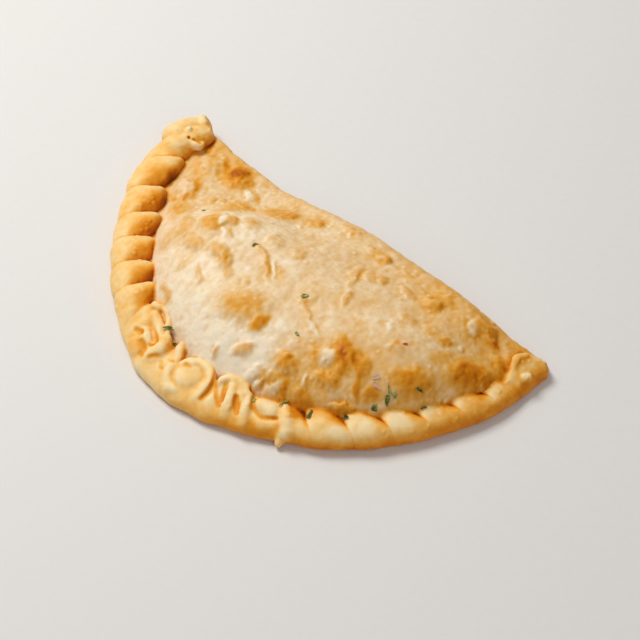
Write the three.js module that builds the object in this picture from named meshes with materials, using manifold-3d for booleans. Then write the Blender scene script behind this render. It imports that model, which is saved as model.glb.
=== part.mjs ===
// Pizza empanada: a half-moon turnover of fried dough, folded shut along a straight edge and
// sealed along its round edge by turning the two layers over each other, fold after fold.
// Millimetres, +Z up. The fold runs along X, the crimped arc faces -Y and the base is flat.
// All lengths below are laid out from the middle of the fold; the last step centres the part.

import * as THREE from 'three';
import { mergeVertices } from 'three/addons/utils/BufferGeometryUtils.js';
import Module from 'manifold-3d';

const wasm = await Module();
wasm.setup();

const { clamp, degToRad, lerp, smoothstep } = THREE.MathUtils;

// Plan: half an ellipse, cut straight by the fold
const HALF_LENGTH = 95;
const REACH = 105.2;
const CRIMP_INSET = 7; // from the outside of the crimp in to its centre line
const KNOT_END_INSET = 3.5; // the body stops inside the knot,
const FLAT_END_INSET = 6; // inside the flattened end
const BODY_ARC_INSET = 0.4; // and under the folds of the crimp

// Heights
const SEAM_HEIGHT = 6; // the sealed layers where the dome meets the crimp
const BEAD_RADIUS = 4.3; // the roll of dough that runs through the folds of the crimp
const EMPTY_HEIGHT = 9; // the flat, unfilled corner at the knotted tip
const FILLING_RISE = 14; // what the filling adds in the middle
const THIN_FOLD_RADIUS = 3.2; // fold beside the knot, two layers pressed together
const FULL_FOLD_RADIUS = 8; // fold where the filling holds it open

// Where the top starts to rise inside the crimp and over what width, as shares of the plan,
// over most of the arc and beside the flattened end, and how far in from the fold it rises
const SHOULDER = { start: 0.86, width: 0.34 };
const END_SHOULDER = { start: 0.91, width: 0.2 };
const FOLD_SHOULDER = 34;

// The filling stops along a line from the crimp to the fold, beside the knotted tip
const FILLING_LINE_FRONT = new THREE.Vector2(-65, -58);
const FILLING_LINE_BACK = new THREE.Vector2(-18, -3);

// Mesh of the body
const STATIONS = 74;
const AROUND = 38;

// The crimp's centre line, from the knotted tip round to the tapered one
const crimpLine = new THREE.EllipseCurve(
  0, 0, HALF_LENGTH - CRIMP_INSET, REACH - CRIMP_INSET, Math.PI, 2 * Math.PI
);
const CRIMP_LENGTH = crimpLine.getLength();

// Where the arc wanders out of the ellipse or into it, as distances along it and offsets
const ARC_WANDER = [
  [0, 3.0], [24, 4.4], [40, 4.0], [52, 1.0], [66, -0.2], [84, -0.9], [106, -1.1], [116, 0.2],
  [130, 2.3], [146, 2.2], [158, 0.6], [170, -1], [186, -2.2], [200, -1.0], [225, -0.6],
  [245, -0.2], [265, 0.6], [292, -0.8],
];

// Where the fold bows in from a straight line, as places along X and distances in
const FOLD_BOW = [
  [-95, 0], [-80, 0.4], [-66, 1.9], [-45, 3.2], [-30, 2.5], [-12, 1.6], [6, 0.5], [44, 0.5],
  [60, 1.2], [72, 1.0], [86, 0], [95, 0],
];

// The even folds of the crimp, as the creases between them along the centre line
const LEFT_CREASES = [20, 40.5, 56.5, 70, 83.5, 96, 109.5];
const FRONT_CREASES = [195.5, 209.5, 222.5, 236.5, 250, 263.5, 275];

// Between those two runs the maker's fingers slipped. There the edge is a band with small
// rolls of dough on it, and the knot and the flattened end have rolls of their own.
const BAND_CREASES = [107, 121, 135, 149, 163, 177, 191];
const BAND_DROP = 2.2; // how much lower than the even folds the band's lumps lie

// Each roll has two ends, and each end its distance along, distance out, height and radius.
const ROLLS = {
  knotBack: [[6, 3.6, 6, 5.8], [12.5, 5, 6.2, 6.8]],
  knotFront: [[9, -1.5, 6.2, 6.2], [18, 2, 6.2, 7]],
  knotTip: [[2, 1.8, 6, 4.6], [6.5, -3.4, 7, 5.2]],
  knotNub: [[9.5, -0.6, 11.2, 2.0], [11, -1.0, 11.2, 1.8]],
  knotLip: [[9, -8.2, 8.6, 2.3], [14.5, -6.6, 8.8, 2.5]],
  thinStrip: [[110.5, -10.5, 8.2, 2.2], [122, -9.2, 8, 2.0]],
  innerRidge: [[113.5, -7.2, 8.6, 3.2], [125, -4.4, 8.6, 2.8]],
  nub: [[120, -1.2, 8.6, 3.0], [125, -0.4, 8, 2.6]],
  outerArc: [[115, 1.2, 6.6, 4.2], [126, 1.8, 7.4, 2.6]],
  firstPeak: [[129.5, -5.6, 9.6, 3.2], [129.5, 3, 7, 4.2]],
  sideRidge: [[132, -8.3, 8, 1.7], [137, -6, 8, 1.8]],
  outerBand: [[133, 4, 6.2, 4.4], [141, 4, 6.2, 4.4]],
  ridgeBeforeDisc: [[140.8, -0.8, 8.8, 2.4], [142.6, 3.6, 7.6, 2.8]],
  disc: [[145.5, -3.6, 7.2, 4.8], [149.5, -2.5, 7, 4.8]],
  discNub: [[143.5, -4.2, 9.4, 1.8], [145.5, -6.8, 9.2, 2.2]],
  wrapStart: [[145.5, -7.8, 9, 2.2], [151.5, -8, 9.2, 2.4]],
  wrapEnd: [[151.5, -8, 9.2, 2.4], [156.5, -1, 6.8, 3.2]],
  knob: [[144.5, 4.8, 5.6, 3.4], [145.5, 5.4, 5.4, 3.2]],
  archTop: [[160, -8, 8.8, 1.9], [166.5, -11.2, 9, 2.2]],
  archMiddle: [[165.5, -9.7, 9.2, 2.4], [164, -0.6, 7, 3.4]],
  archFront: [[167, -11.4, 9, 2.4], [172, -0.6, 6.8, 3.2]],
  tongueInArch: [[160, -5.4, 7.6, 1.9], [162, -2.4, 7, 2.2]],
  thinPeak: [[173.3, -6.8, 9.6, 1.6], [174.5, -0.2, 6.8, 4.2]],
  tongue: [[175.8, -6.6, 8, 1.9], [181.8, -6.2, 7.6, 3.4]],
  broadPeak: [[187.8, -5, 9.4, 2], [189.5, -0.4, 6, 5.2]],
  drip: [[188.8, 2.6, 3.2, 2.8], [188.2, 5.2, 1.6, 1.4]],
  endFlapInner: [[276, -1.4, 4.8, 4.4], [284.5, -1.6, 5, 4.4]],
  endFlapMiddle: [[277, 0.8, 4.6, 4.4], [288, 0.2, 4.2, 4]],
  endFlapOuter: [[275, 2.4, 4.2, 4.2], [289.5, 1.8, 3.4, 3.4]],
  endCorner: [[286, -2.6, 4.2, 3.6], [292, 2.4, 3, 3]],
};

// The slot where the knot's curl stays open: two ends as above
const KNOT_SLOT = [[14, -2.8, 12, 0.8], [11.5, -6.6, 11.2, 0.9]];

// Blisters that the hot fat raised in the top: place, size across and rise
const BLISTERS = [
  { x: -73, y: -13, size: 7, rise: 1.3 },
  { x: -60, y: -12, size: 8, rise: 1.7 },
  { x: -67, y: -29, size: 7, rise: 1.6 },
  { x: -51, y: -7, size: 4, rise: 1.0 },
  { x: -60, y: -43, size: 6, rise: 1.2 },
  { x: -50, y: -55, size: 9, rise: 1.4 },
  { x: -38, y: -46, size: 8, rise: 1.3 },
  { x: -26, y: -35, size: 8, rise: 1.3 },
  { x: -27, y: -20, size: 8, rise: 1.3 },
  { x: -12, y: -15, size: 7, rise: 1.1 },
  { x: -35, y: -57, size: 7, rise: 1.0 },
  { x: -22, y: -55, size: 9, rise: 1.5 },
  { x: -3, y: -33, size: 7, rise: 0.9 },
  { x: -2, y: -66, size: 10, rise: 1.4 },
  { x: 9, y: -68, size: 5, rise: 1.3 },
  { x: 28, y: -73, size: 7, rise: 1.4 },
  { x: 29, y: -81, size: 5, rise: 1.2 },
  { x: 39, y: -60, size: 8, rise: 2.0 },
  { x: 46, y: -63, size: 8, rise: 1.7 },
  { x: 62, y: -49, size: 11, rise: 1.8 },
  { x: 75, y: -27, size: 9, rise: 1.5 },
  { x: 79, y: -10, size: 6, rise: 1.2 },
  { x: 60, y: -27, size: 6, rise: 1.1 },
  { x: 19, y: -10, size: 6, rise: 1.0 },
  { x: 27, y: -20, size: 6, rise: 1.0 },
  { x: 47, y: -13, size: 8, rise: 1.1 },
  { x: 66, y: -9, size: 6, rise: 1.4 },
];

// Flakes of dried herb on the top and in the creases: place, length, width and heading
const FLAKES = [
  { x: -47.6, y: -40.7, length: 2.2, width: 1.4, heading: 20 },
  { x: -16.6, y: -43.4, length: 2.4, width: 1.5, heading: 60 },
  { x: 14.5, y: -48.6, length: 3.0, width: 1.8, heading: 45 },
  { x: 23.8, y: -62.3, length: 2.8, width: 1.2, heading: -10 },
  { x: -21.5, y: -85.5, length: 4.2, width: 1.4, heading: 20 },
  { x: -14.5, y: -88.4, length: 2.6, width: 1.4, heading: 70 },
  { x: -6.6, y: -90.3, length: 2.0, width: 1.2, heading: 10 },
  { x: 25.5, y: -87.3, length: 2.6, width: 1.6, heading: 30 },
  { x: 35.4, y: -80.8, length: 4.0, width: 2.2, heading: 80 },
  { x: 42.6, y: -78.6, length: 3.6, width: 1.8, heading: 100 },
  { x: 53.2, y: -69.5, length: 2.4, width: 1.4, heading: 40 },
  { x: 60.4, y: -60.3, length: 3.4, width: 1.8, heading: 120 },
  { x: 61.9, y: -56.5, length: 4.4, width: 2.6, heading: 70 },
  { x: 64.5, y: -54.2, length: 2.8, width: 1.4, heading: 20 },
  { x: 69.3, y: -47.2, length: 3.8, width: 1.3, heading: 10 },
  { x: 72.8, y: -48.7, length: 3.0, width: 1.0, heading: 60 },
  { x: 56.4, y: -55.8, length: 3.4, width: 1.3, heading: 110 },
];
const FLAKE_THICKNESS = 0.9;

function ellipseShare(x, y) {
  return Math.hypot(x / HALF_LENGTH, y / REACH);
}

// Share of the full filling under a point: none at the knotted tip, less at the other one
function fillingAt(x, y) {
  const run = FILLING_LINE_BACK.clone().sub(FILLING_LINE_FRONT);
  const behind = (x - FILLING_LINE_FRONT.x) * run.y - (y - FILLING_LINE_FRONT.y) * run.x;
  const started = smoothstep(behind / run.length(), -13, 17);
  return started * (1 - 0.45 * smoothstep(x, 50, 92));
}

function foldRadius(x) {
  const opened = smoothstep(x, -44, 8) * (1 - 0.72 * smoothstep(x, 70, 95));
  return lerp(THIN_FOLD_RADIUS, FULL_FOLD_RADIUS, opened);
}

function blisterHeight(x, y) {
  return BLISTERS.reduce((sum, blister) => {
    const away = Math.hypot(x - blister.x, y - blister.y) / (0.62 * blister.size);
    return sum + blister.rise * Math.exp(-away * away);
  }, 0);
}

// Height of the top skin over a point of the plan
function topHeight(x, y, foldY) {
  const radius = foldRadius(x);
  const plateau = EMPTY_HEIGHT + FILLING_RISE * fillingAt(x, y);
  const fromFold = smoothstep(foldY - y - radius, 0, FOLD_SHOULDER);
  const full = lerp(2 * radius, plateau, fromFold);
  const nearEnd = smoothstep(x, 20, 82);
  const start = lerp(SHOULDER.start, END_SHOULDER.start, nearEnd);
  const width = lerp(SHOULDER.width, END_SHOULDER.width, nearEnd);
  const inside = clamp((start - ellipseShare(x, y)) / width, 0, 1);
  const alongFold = 1 - smoothstep(foldY - y - radius, 0, 20);
  const shoulder = Math.max((1 - (1 - inside) ** 2) ** 0.7, alongFold);
  const blisters = blisterHeight(x, y) * smoothstep(inside, 0, 0.15) * smoothstep(-y, 2, 9);
  return SEAM_HEIGHT + (full - SEAM_HEIGHT) * shoulder + blisters;
}

// Value at a place from a list of places and values, eased from one to the next
function valueAt(list, place) {
  const next = clamp(list.findIndex(([at]) => at >= place), 1, list.length - 1);
  const [fromPlace, fromValue] = list[next - 1];
  const [toPlace, toValue] = list[next];
  return lerp(fromValue, toValue, smoothstep(place, fromPlace, toPlace));
}

// Distance along the crimp of the point of the arc at a share of half a turn
function alongAt(turnShare) {
  const lengths = crimpLine.getLengths(200);
  return lengths[Math.round(200 * turnShare)];
}

// One closed section across the body, for a turn of 0 at the knot to pi at the flat end, as
// a point (y, z) for a share of the way round: the fold's half circle, the top skin, the
// bead under the crimp, the flat base.
function sectionPoint(x, turn, share) {
  const reach = REACH - BODY_ARC_INSET + 0.9 * valueAt(ARC_WANDER, alongAt(turn / Math.PI));
  const edge = reach * Math.sin(turn);
  const foldR = Math.min(foldRadius(x), 0.3 * edge);
  const foldY = -Math.min(valueAt(FOLD_BOW, x), 0.2 * edge);
  const beadR = Math.min(BEAD_RADIUS, 0.3 * edge);
  const beadY = -edge + beadR;
  if (share < 0.15) {
    const around = Math.PI * (share / 0.15 - 0.5);
    return [foldY - foldR + foldR * Math.cos(around), foldR + foldR * Math.sin(around)];
  }
  if (share < 0.82) {
    const across = (share - 0.15) / 0.67;
    const y = lerp(foldY - foldR, beadY, across);
    const flat = lerp(2 * foldR, 2 * beadR, across);
    const open = smoothstep(edge, 4, 26) * (1 - smoothstep(beadY + 6 - y, 0, 6));
    return [y, lerp(flat, topHeight(x, y, foldY), open)];
  }
  if (share < 0.95) {
    const around = Math.PI * (0.5 + (share - 0.82) / 0.13);
    return [beadY + beadR * Math.cos(around), beadR + beadR * Math.sin(around)];
  }
  return [lerp(beadY, foldY - foldR, (share - 0.95) / 0.05), 0];
}

// A sphere's grid, stretched so that its poles are the two tips and its rings the sections
function bodyGeometry() {
  const geometry = new THREE.SphereGeometry(1, AROUND, STATIONS);
  const position = geometry.attributes.position;
  const uv = geometry.attributes.uv;
  for (let i = 0; i < position.count; i++) {
    const turn = Math.PI * (1 - uv.getY(i));
    const far = -(HALF_LENGTH - KNOT_END_INSET);
    const near = HALF_LENGTH - FLAT_END_INSET;
    const x = lerp(far, near, (1 - Math.cos(turn)) / 2);
    const [y, z] = sectionPoint(x, turn, (1 - uv.getX(i)) % 1);
    position.setXYZ(i, x, y, z);
  }
  return geometry;
}

// Frame at a distance along the crimp: X outward from the empanada, Y along the crimp, Z up.
// Past either end it runs straight on.
function crimpFrame(along, out, height) {
  const share = clamp(along / CRIMP_LENGTH, 0, 1);
  const point = crimpLine.getPointAt(share);
  const tangent = crimpLine.getTangentAt(share);
  const outward = new THREE.Vector3(tangent.y, -tangent.x, 0);
  const forward = new THREE.Vector3(tangent.x, tangent.y, 0);
  const place = new THREE.Vector3(point.x, point.y, height)
    .addScaledVector(outward, out)
    .addScaledVector(forward, along - share * CRIMP_LENGTH);
  const frame = new THREE.Matrix4().makeBasis(outward, forward, new THREE.Vector3(0, 0, 1));
  return frame.setPosition(place);
}

// One even fold of the crimp: a roll of dough, broad and high on the inside, running out and
// down, its side towards the tapered tip raised over the next one like a scale.
function foldGeometry(from, to, drop) {
  const middle = (from + to) / 2;
  const front = smoothstep(middle, 178, 205);
  const halfAlong = (0.74 + 0.06 * drop) * (to - from);
  const halfAcross = lerp(8.8, 7.0, front);
  const halfUp = lerp(5.3, 4.9, front);
  const geometry = new THREE.SphereGeometry(1, 12, 7);
  const position = geometry.attributes.position;
  for (let i = 0; i < position.count; i++) {
    const across = position.getX(i);
    const along = position.getY(i);
    const up = position.getZ(i);
    const taper = 1 - 0.22 * across;
    position.setXYZ(
      i,
      across * halfAcross,
      along * halfAlong * taper,
      up * halfUp * taper - 0.9 * across + 1.2 * along
    );
  }
  geometry.rotateZ(degToRad(lerp(14, 30, front)));
  const out = valueAt(ARC_WANDER, middle) + lerp(-1.4, 0.1, front) - 0.6 * drop;
  return geometry.applyMatrix4(crimpFrame(middle, out, lerp(5.6, 5.2, front) - drop));
}

// A roll with round ends that tapers from one radius to the other
function rollGeometry([start, end]) {
  const [from, to] = [start, end].map(([along, out, height]) =>
    new THREE.Vector3().setFromMatrixPosition(crimpFrame(along, out, height)));
  const run = to.clone().sub(from);
  const turned = new THREE.Quaternion().setFromUnitVectors(
    new THREE.Vector3(0, 1, 0), run.clone().normalize()
  );
  const geometry = new THREE.CapsuleGeometry(1, 1, 2, 8);
  const position = geometry.attributes.position;
  const point = new THREE.Vector3();
  for (let i = 0; i < position.count; i++) {
    point.fromBufferAttribute(position, i);
    const share = clamp(point.y + 0.5, 0, 1);
    point.y -= share - 0.5;
    point.multiplyScalar(lerp(start[3], end[3], share)).applyQuaternion(turned);
    point.add(from).addScaledVector(run, share);
    position.setXYZ(i, point.x, point.y, point.z);
  }
  return geometry;
}

// A flake: a small bent leaf scrap, half sunk in the dough where it lies
function flakeGeometry(flake, dough) {
  const above = new THREE.Vector3(flake.x, flake.y, 60);
  const down = new THREE.Vector3(0, 0, -1);
  const [hit] = new THREE.Raycaster(above, down).intersectObject(dough);
  const geometry = new THREE.BoxGeometry(flake.length, flake.width, FLAKE_THICKNESS, 2, 1, 1);
  const position = geometry.attributes.position;
  for (let i = 0; i < position.count; i++) {
    const share = position.getX(i) / (0.5 * flake.length);
    position.setY(i, position.getY(i) * (1 - 0.5 * Math.abs(share)));
    position.setZ(i, position.getZ(i) - 0.25 * share * share);
  }
  geometry.rotateZ(degToRad(flake.heading));
  const tilt = new THREE.Quaternion().setFromUnitVectors(
    new THREE.Vector3(0, 0, 1), hit.face.normal
  );
  geometry.applyQuaternion(tilt);
  return geometry.translate(hit.point.x, hit.point.y, hit.point.z + 0.1);
}

// Only points are kept and shared ones merged, so that the surface closes, and the slivers
// that the poles leave are dropped
function toSolid(geometry) {
  geometry.deleteAttribute('normal');
  geometry.deleteAttribute('uv');
  const merged = mergeVertices(geometry, 1e-4);
  const corners = [];
  for (let i = 0; i < merged.index.count; i += 3) {
    const [a, b, c] = merged.index.array.slice(i, i + 3);
    if (a !== b && b !== c && c !== a) corners.push(a, b, c);
  }
  return new wasm.Manifold(new wasm.Mesh({
    numProp: 3,
    vertProperties: new Float32Array(merged.attributes.position.array),
    triVerts: new Uint32Array(corners),
  }));
}

function toGeometry(solid) {
  const mesh = solid.getMesh();
  const geometry = new THREE.BufferGeometry();
  geometry.setAttribute('position', new THREE.BufferAttribute(mesh.vertProperties, 3));
  geometry.setIndex(new THREE.BufferAttribute(mesh.triVerts, 1));
  geometry.computeVertexNormals();
  return geometry;
}

// Dough: the body with every fold and roll joined on, the knot's slot cut in, and the base
// cut off flat where it lay. The largest piece is the whole empanada: any other is a hollow
// that the joining sealed.
let dough = toSolid(bodyGeometry());
const runs = [[LEFT_CREASES, 0], [BAND_CREASES, BAND_DROP], [FRONT_CREASES, 0]];
for (const [creases, drop] of runs) {
  for (let i = 1; i < creases.length; i++) {
    dough = dough.add(toSolid(foldGeometry(creases[i - 1], creases[i], drop)));
  }
}
for (const roll of Object.values(ROLLS)) {
  dough = dough.add(toSolid(rollGeometry(roll)));
}
dough = dough.subtract(toSolid(rollGeometry(KNOT_SLOT)));
const table = new THREE.BoxGeometry(3 * HALF_LENGTH, 3 * REACH, 20);
table.translate(0, -REACH / 2, -10);
dough = dough.subtract(toSolid(table));
[dough] = dough.decompose().sort((a, b) => b.volume() - a.volume());

// Herb flakes fused to the dough
const doughMesh = new THREE.Mesh(toGeometry(dough));
let whole = dough;
for (const flake of FLAKES) {
  whole = whole.add(toSolid(flakeGeometry(flake, doughMesh)));
}

const shape = toGeometry(whole);
shape.computeBoundingBox();
const centre = shape.boundingBox.getCenter(new THREE.Vector3());
shape.translate(-centre.x, -centre.y, -shape.boundingBox.min.z);

const empanada = new THREE.Mesh(
  shape,
  new THREE.MeshStandardMaterial({ color: 0xe6c794, roughness: 0.5, metalness: 0 })
);
empanada.name = 'empanada';

const group = new THREE.Group();
group.add(empanada);

export default group;
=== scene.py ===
"""Pizza empanada, dressed: a half-moon turnover of fried dough with a crimped edge.

The dough is modelled in millimetres, laid out from the middle of its straight fold as its CAD
solid is: the fold runs along X, the crimped arc faces -Y and the base is flat at z = 0. Its shape
is one signed distance, that of the filled pouch joined to that of the crimp twisted round it. That
is meshed on a fine grid, and gets its relief and its colour vertex by vertex: browned crust with
painted shade and painted highlights. The last step brings it to metres and to the part's own frame.
"""

import math

import bpy
import numpy as np
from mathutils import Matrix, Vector
from mathutils.bvhtree import BVHTree
from mathutils.kdtree import KDTree


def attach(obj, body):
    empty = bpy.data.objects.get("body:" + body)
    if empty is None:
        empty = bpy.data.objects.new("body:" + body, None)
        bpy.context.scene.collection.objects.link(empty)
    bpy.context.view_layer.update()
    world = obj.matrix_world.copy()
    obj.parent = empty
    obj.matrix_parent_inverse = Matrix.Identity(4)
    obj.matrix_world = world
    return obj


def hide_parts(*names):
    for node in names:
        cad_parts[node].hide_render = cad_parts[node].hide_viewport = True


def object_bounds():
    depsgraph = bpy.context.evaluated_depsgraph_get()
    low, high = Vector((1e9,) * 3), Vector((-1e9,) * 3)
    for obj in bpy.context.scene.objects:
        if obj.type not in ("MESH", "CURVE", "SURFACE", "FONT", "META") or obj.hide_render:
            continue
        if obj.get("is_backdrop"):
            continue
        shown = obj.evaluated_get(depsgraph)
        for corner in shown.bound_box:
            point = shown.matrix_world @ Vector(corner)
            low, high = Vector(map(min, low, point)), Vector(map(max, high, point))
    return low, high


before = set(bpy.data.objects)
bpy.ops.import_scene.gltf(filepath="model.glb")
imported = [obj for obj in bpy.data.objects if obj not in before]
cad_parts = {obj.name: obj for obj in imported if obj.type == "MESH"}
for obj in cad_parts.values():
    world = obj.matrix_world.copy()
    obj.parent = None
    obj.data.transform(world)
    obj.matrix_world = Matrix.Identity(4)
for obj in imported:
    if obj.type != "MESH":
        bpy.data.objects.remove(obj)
cad_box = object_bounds()

MM = 0.001
SEED = 7

# Plan of the turnover: half an ellipse, cut straight by the fold
HALF_LENGTH = 95
REACH = 105.2
CRIMP_INSET = 7
PART_CENTRE = np.array([-2.651, -52.084, 0])

# Heights of the pouch: at its seam, where it is empty, and what the filling adds
SEAM_HEIGHT = 6
EMPTY_HEIGHT = 9
FILLING_RISE = 14

# The fold: its radius where it is pressed thin and where the filling opens it, how far in front
# of it the pouch has its full height, how far its own crest runs in, and where it ends
THIN_FOLD_RADIUS = 3.2
FULL_FOLD_RADIUS = 8
FOLD_SHOULDER = 34
FOLD_CREST = 20
FOLD_ENDS = (-89, 87)

# The filling starts at a line from the crimp to the fold, beside the knotted tip, and grows over
# a distance from there. In the flat tip there is less of it, less and less between two places.
FILLING_LINE_FRONT = np.array([-65, -58])
FILLING_LINE_BACK = np.array([-18, -3])
FILLING_GROWS = (-10, 13)
FLAT_TIP_LOSS = 0.45
FLAT_TIP_THINS = (50, 92)

# The dome's shoulder at the front and at the flat tip: where it starts, as a share of the way out
# to the arc, its width, and the places along X between which it changes. Beside the even folds of
# the crimp it starts further in.
SHOULDER_START = (0.845, 0.91)
SHOULDER_WIDTH = (0.34, 0.2)
SHOULDER_CHANGES = (20, 82)
SHOULDER_INSET = 0.024
INSET_CHANGES = (-34, -46)
SHOULDER_ROUNDNESS = 0.7

# Where the arc wanders out of the ellipse or into it, as distances along it and offsets
ARC_WANDER = [
    (0, 2.7), (24, 3.96), (40, 3.6), (52, 0.9), (66, -0.18), (84, -0.81), (106, -0.99),
    (116, 0.18), (130, 2.07), (146, 1.98), (158, 0.54), (170, -0.9), (186, -1.98), (200, -0.9),
    (225, -0.54), (245, -0.18), (265, 0.54), (292, -0.72),
]

# Where the fold bows in from a straight line, as places along X and distances in
FOLD_BOW = [
    (-95, 0), (-80, 0.4), (-66, 1.9), (-45, 3.2), (-30, 2.5), (-12, 1.6), (6, 0.5), (44, 0.5),
    (60, 1.2), (72, 1.0), (86, 0), (95, 0),
]

# The creases between the folds of the crimp, as distances along it, how far out from its centre
# line those are taken, and how far the creases wander from a smooth line
CREASES = np.array([
    4, 22, 40, 56, 70, 83.8, 96, 108.5, 124, 142, 160, 178, 196, 209.5, 223, 236.5, 250, 263,
    274.5, 296,
])
CREASE_OUT = -5
CREASE_WANDER = 0.5

# A fold from one crease to the next: how far its top leans back, how much of its section is a
# round arch and not a flatter one, the height of the arch's foot and how much folds differ
FOLD_LEAN = 0.8
FOLD_ARCH = 0.65
ARCH_FOOT = 0.17
FOLD_DIFFERENCE = 0.3

# How much deeper a crease is on the dome's side, and how deep it is under the rope
CREASE_INSIDE = 1.3
CREASE_BELOW = 0.5

# The crimp's rope at distances along it: half width, half height, middle out from the centre
# line, depth of the creases, how far they run forward for each millimetre out, and the share of
# their depth that is left on its outer side
ROPE = [
    (-4, 4.2, 3.6, -0.5, 0, 0.5, 0.2), (10, 7.4, 5.0, -1.4, 0.2, 0.6, 0.2),
    (24, 8.7, 5.7, -2.2, 1.2, 0.6, 0.15), (40, 9.0, 5.8, -2.6, 3.1, 0.6, 0.2),
    (57, 9.0, 5.7, -2.7, 3.3, 0.5, 0.2), (70, 8.8, 5.7, -2.6, 3.2, 0.3, 0.2),
    (84, 8.6, 5.7, -2.4, 3.3, 0.12, 0.22), (97, 8.6, 5.7, -2.5, 3.1, 0.2, 0.2),
    (107, 8.8, 5.1, -2.8, 2.2, 0.4, 0.1), (115, 8.4, 4.2, -2.2, 0.5, 0.4, 0.1),
    (122, 7.9, 3.9, -1.7, 0.3, 0.4, 0.1), (184, 7.6, 4.1, -1.2, 0.3, 0.35, 0.1),
    (193, 7.5, 4.8, -1.5, 2.4, 0.35, 0.02), (224, 7.3, 5.0, -1.5, 3.1, 0.45, 0.02),
    (250, 7.1, 4.7, -1.3, 3.0, 0.4, 0.02), (268, 6.6, 4.3, -0.9, 2.3, 0.3, 0.02),
    (280, 5.6, 3.2, -0.1, 0.2, 0.3, 0.1), (293, 4.0, 2.3, 0.4, 0, 0.3, 0.1),
]
ROPE_SLOPE = 0.13
ROPE_MIDDLE = 0.86
ROPE_SQUARENESS = 2.3

# Rolls of dough that lie on the rope at the knotted tip, the uneven stretch and the end flap, as
# the places that each passes: distance along, distance out, height and radius
ROLLS = {
    "knot_back": [(6, 3.6, 6, 5.8), (12.5, 5, 6.2, 6.6)],
    "knot_front": [(9, -1.5, 6.2, 6.0), (18, 1.4, 6.2, 6.4)],
    "knot_tip": [(1.6, 2.4, 6, 4.4), (6.5, -3.4, 6.6, 4.8)],
    "knot_end": [(2.2, 0.4, 9.6, 2.2), (0.9, 2.4, 9.2, 2.4)],
    "knot_nub": [(10.2, 0.4, 12.3, 1.2), (10.8, 0.2, 12.3, 1.2)],
    "knot_lip": [
        (14.0, -3.0, 9.8, 1.4), (13.8, -5.4, 9.4, 1.8), (12.9, -7.1, 8.9, 1.6),
        (11.2, -7.2, 8.8, 1.2),
    ],
    "first_lump": [(110.5, -5.6, 5.0, 4.5), (114.5, -4.4, 4.8, 4.4), (116, -1.2, 4.4, 4.2)],
    "strip_nub": [(110.2, -8.9, 9.4, 1.7), (112.2, -9.8, 9.6, 1.4)],
    "strip": [
        (112.4, -10.8, 9.6, 1.1), (115.5, -11.6, 9.6, 1.0), (119, -11.2, 9.4, 1.0),
        (122.5, -9.8, 9.0, 1.0), (125.5, -8.2, 8.4, 1.0),
    ],
    "inner_ridge": [
        (114.5, -7.6, 7.6, 2.4), (120.5, -6.8, 7.6, 2.3), (126, -5.0, 7.2, 2.0),
        (129.5, -3.4, 6.8, 1.7),
    ],
    "nub": [(119.7, -1.6, 6.6, 2.5), (122.5, -0.8, 6.4, 2.6), (126, 0, 6, 2.1)],
    "under_dimple": [(121, 2.8, 4.8, 2.8), (124.5, 4.4, 4.4, 2.6)],
    "big_peak": [
        (127.8, -6.4, 7.6, 2.2), (129.6, -3.2, 6.4, 3.6), (130.2, 0.4, 5.4, 3.7),
        (130, 2.8, 4.2, 3.0),
    ],
    "leaf": [
        (133.6, -10, 7.2, 1.4), (135.2, -8, 7, 2.0), (137.4, -5.6, 6.6, 1.9), (138.4, -4, 6.4, 1.4),
    ],
    "before_disc": [(139.2, -1.4, 6.2, 2.3), (140.4, 1.4, 5.6, 2.6), (143.6, 4, 4.8, 2.6)],
    "disc_nub": [(141.8, -4.4, 8, 1.3), (142.6, -6.2, 8.2, 1.4), (144.8, -6.8, 8.2, 1.4)],
    "wrap": [
        (142.6, -7.6, 7.6, 1.4), (146.6, -9.2, 8, 1.6), (151.2, -9.2, 8, 1.9),
        (154.6, -7, 7.8, 2.0), (155.9, -3.2, 7, 2.4), (155.8, 0.8, 5.4, 2.6),
        (154.9, 3.0, 4.4, 2.2),
    ],
    "knob": [(144.8, 5.2, 4.4, 2.4), (146.4, 4.2, 4.8, 2.4)],
    "plane": [(159.2, -3, 5.4, 2.6), (160.4, 0.2, 4.8, 2.8), (161.6, 2.4, 4.2, 2.3)],
    "tongue_in_arch": [(160.4, -7.4, 7.0, 1.6), (161.6, -4.2, 6.4, 1.7), (163, -1.4, 5.8, 1.4)],
    "arch": [
        (158.8, -5.6, 7.8, 1.3), (159.4, -8, 8.4, 1.5), (161.8, -10.2, 8.6, 1.6),
        (165.6, -11.4, 8.6, 1.7), (169.2, -10.4, 8.4, 1.9), (171.2, -7.6, 7.8, 1.9),
    ],
    "middle_leg": [
        (164.6, -9.6, 7.4, 2.2), (165.7, -4.9, 6.6, 2.8), (166.7, -0.6, 5.6, 2.9),
        (167.4, 2.2, 4.4, 2.4),
    ],
    "arch_right": [(167.4, -10.4, 7.8, 1.9), (169, -7.4, 7.2, 1.9), (170.2, -4.8, 6.8, 1.7)],
    "thin_peak": [
        (172.8, -7.8, 8.2, 1.1), (173.5, -4.2, 7.2, 1.9), (174, -0.8, 5.8, 2.6),
        (174.6, 2.2, 4.4, 2.6),
    ],
    "blob": [(178.8, -5.4, 5.8, 3.4), (183, -4.6, 5.6, 3.8)],
    "blob_rim": [(178, -0.4, 4.8, 2.2), (182, 1.2, 4.8, 2.2), (186, -0.2, 4.8, 2.2)],
    "broad_peak": [(187.8, -7, 7.4, 1.7), (189.4, -3, 6.4, 3.3), (190.6, 1.2, 4.6, 3.6)],
    "drip": [(188.8, 3.0, 2.8, 2.2), (188.3, 5.2, 1.9, 1.3)],
    "flap_bump": [(280.8, 1.8, 6.2, 1.7), (282.4, 2.4, 6.0, 1.6)],
    "flap_edge": [(280.5, -3.2, 8.2, 1.0), (284.0, -4.6, 8.8, 1.2), (287.4, -3.6, 8.5, 1.0)],
}
ROLL_BLEND = 1.0

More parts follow.
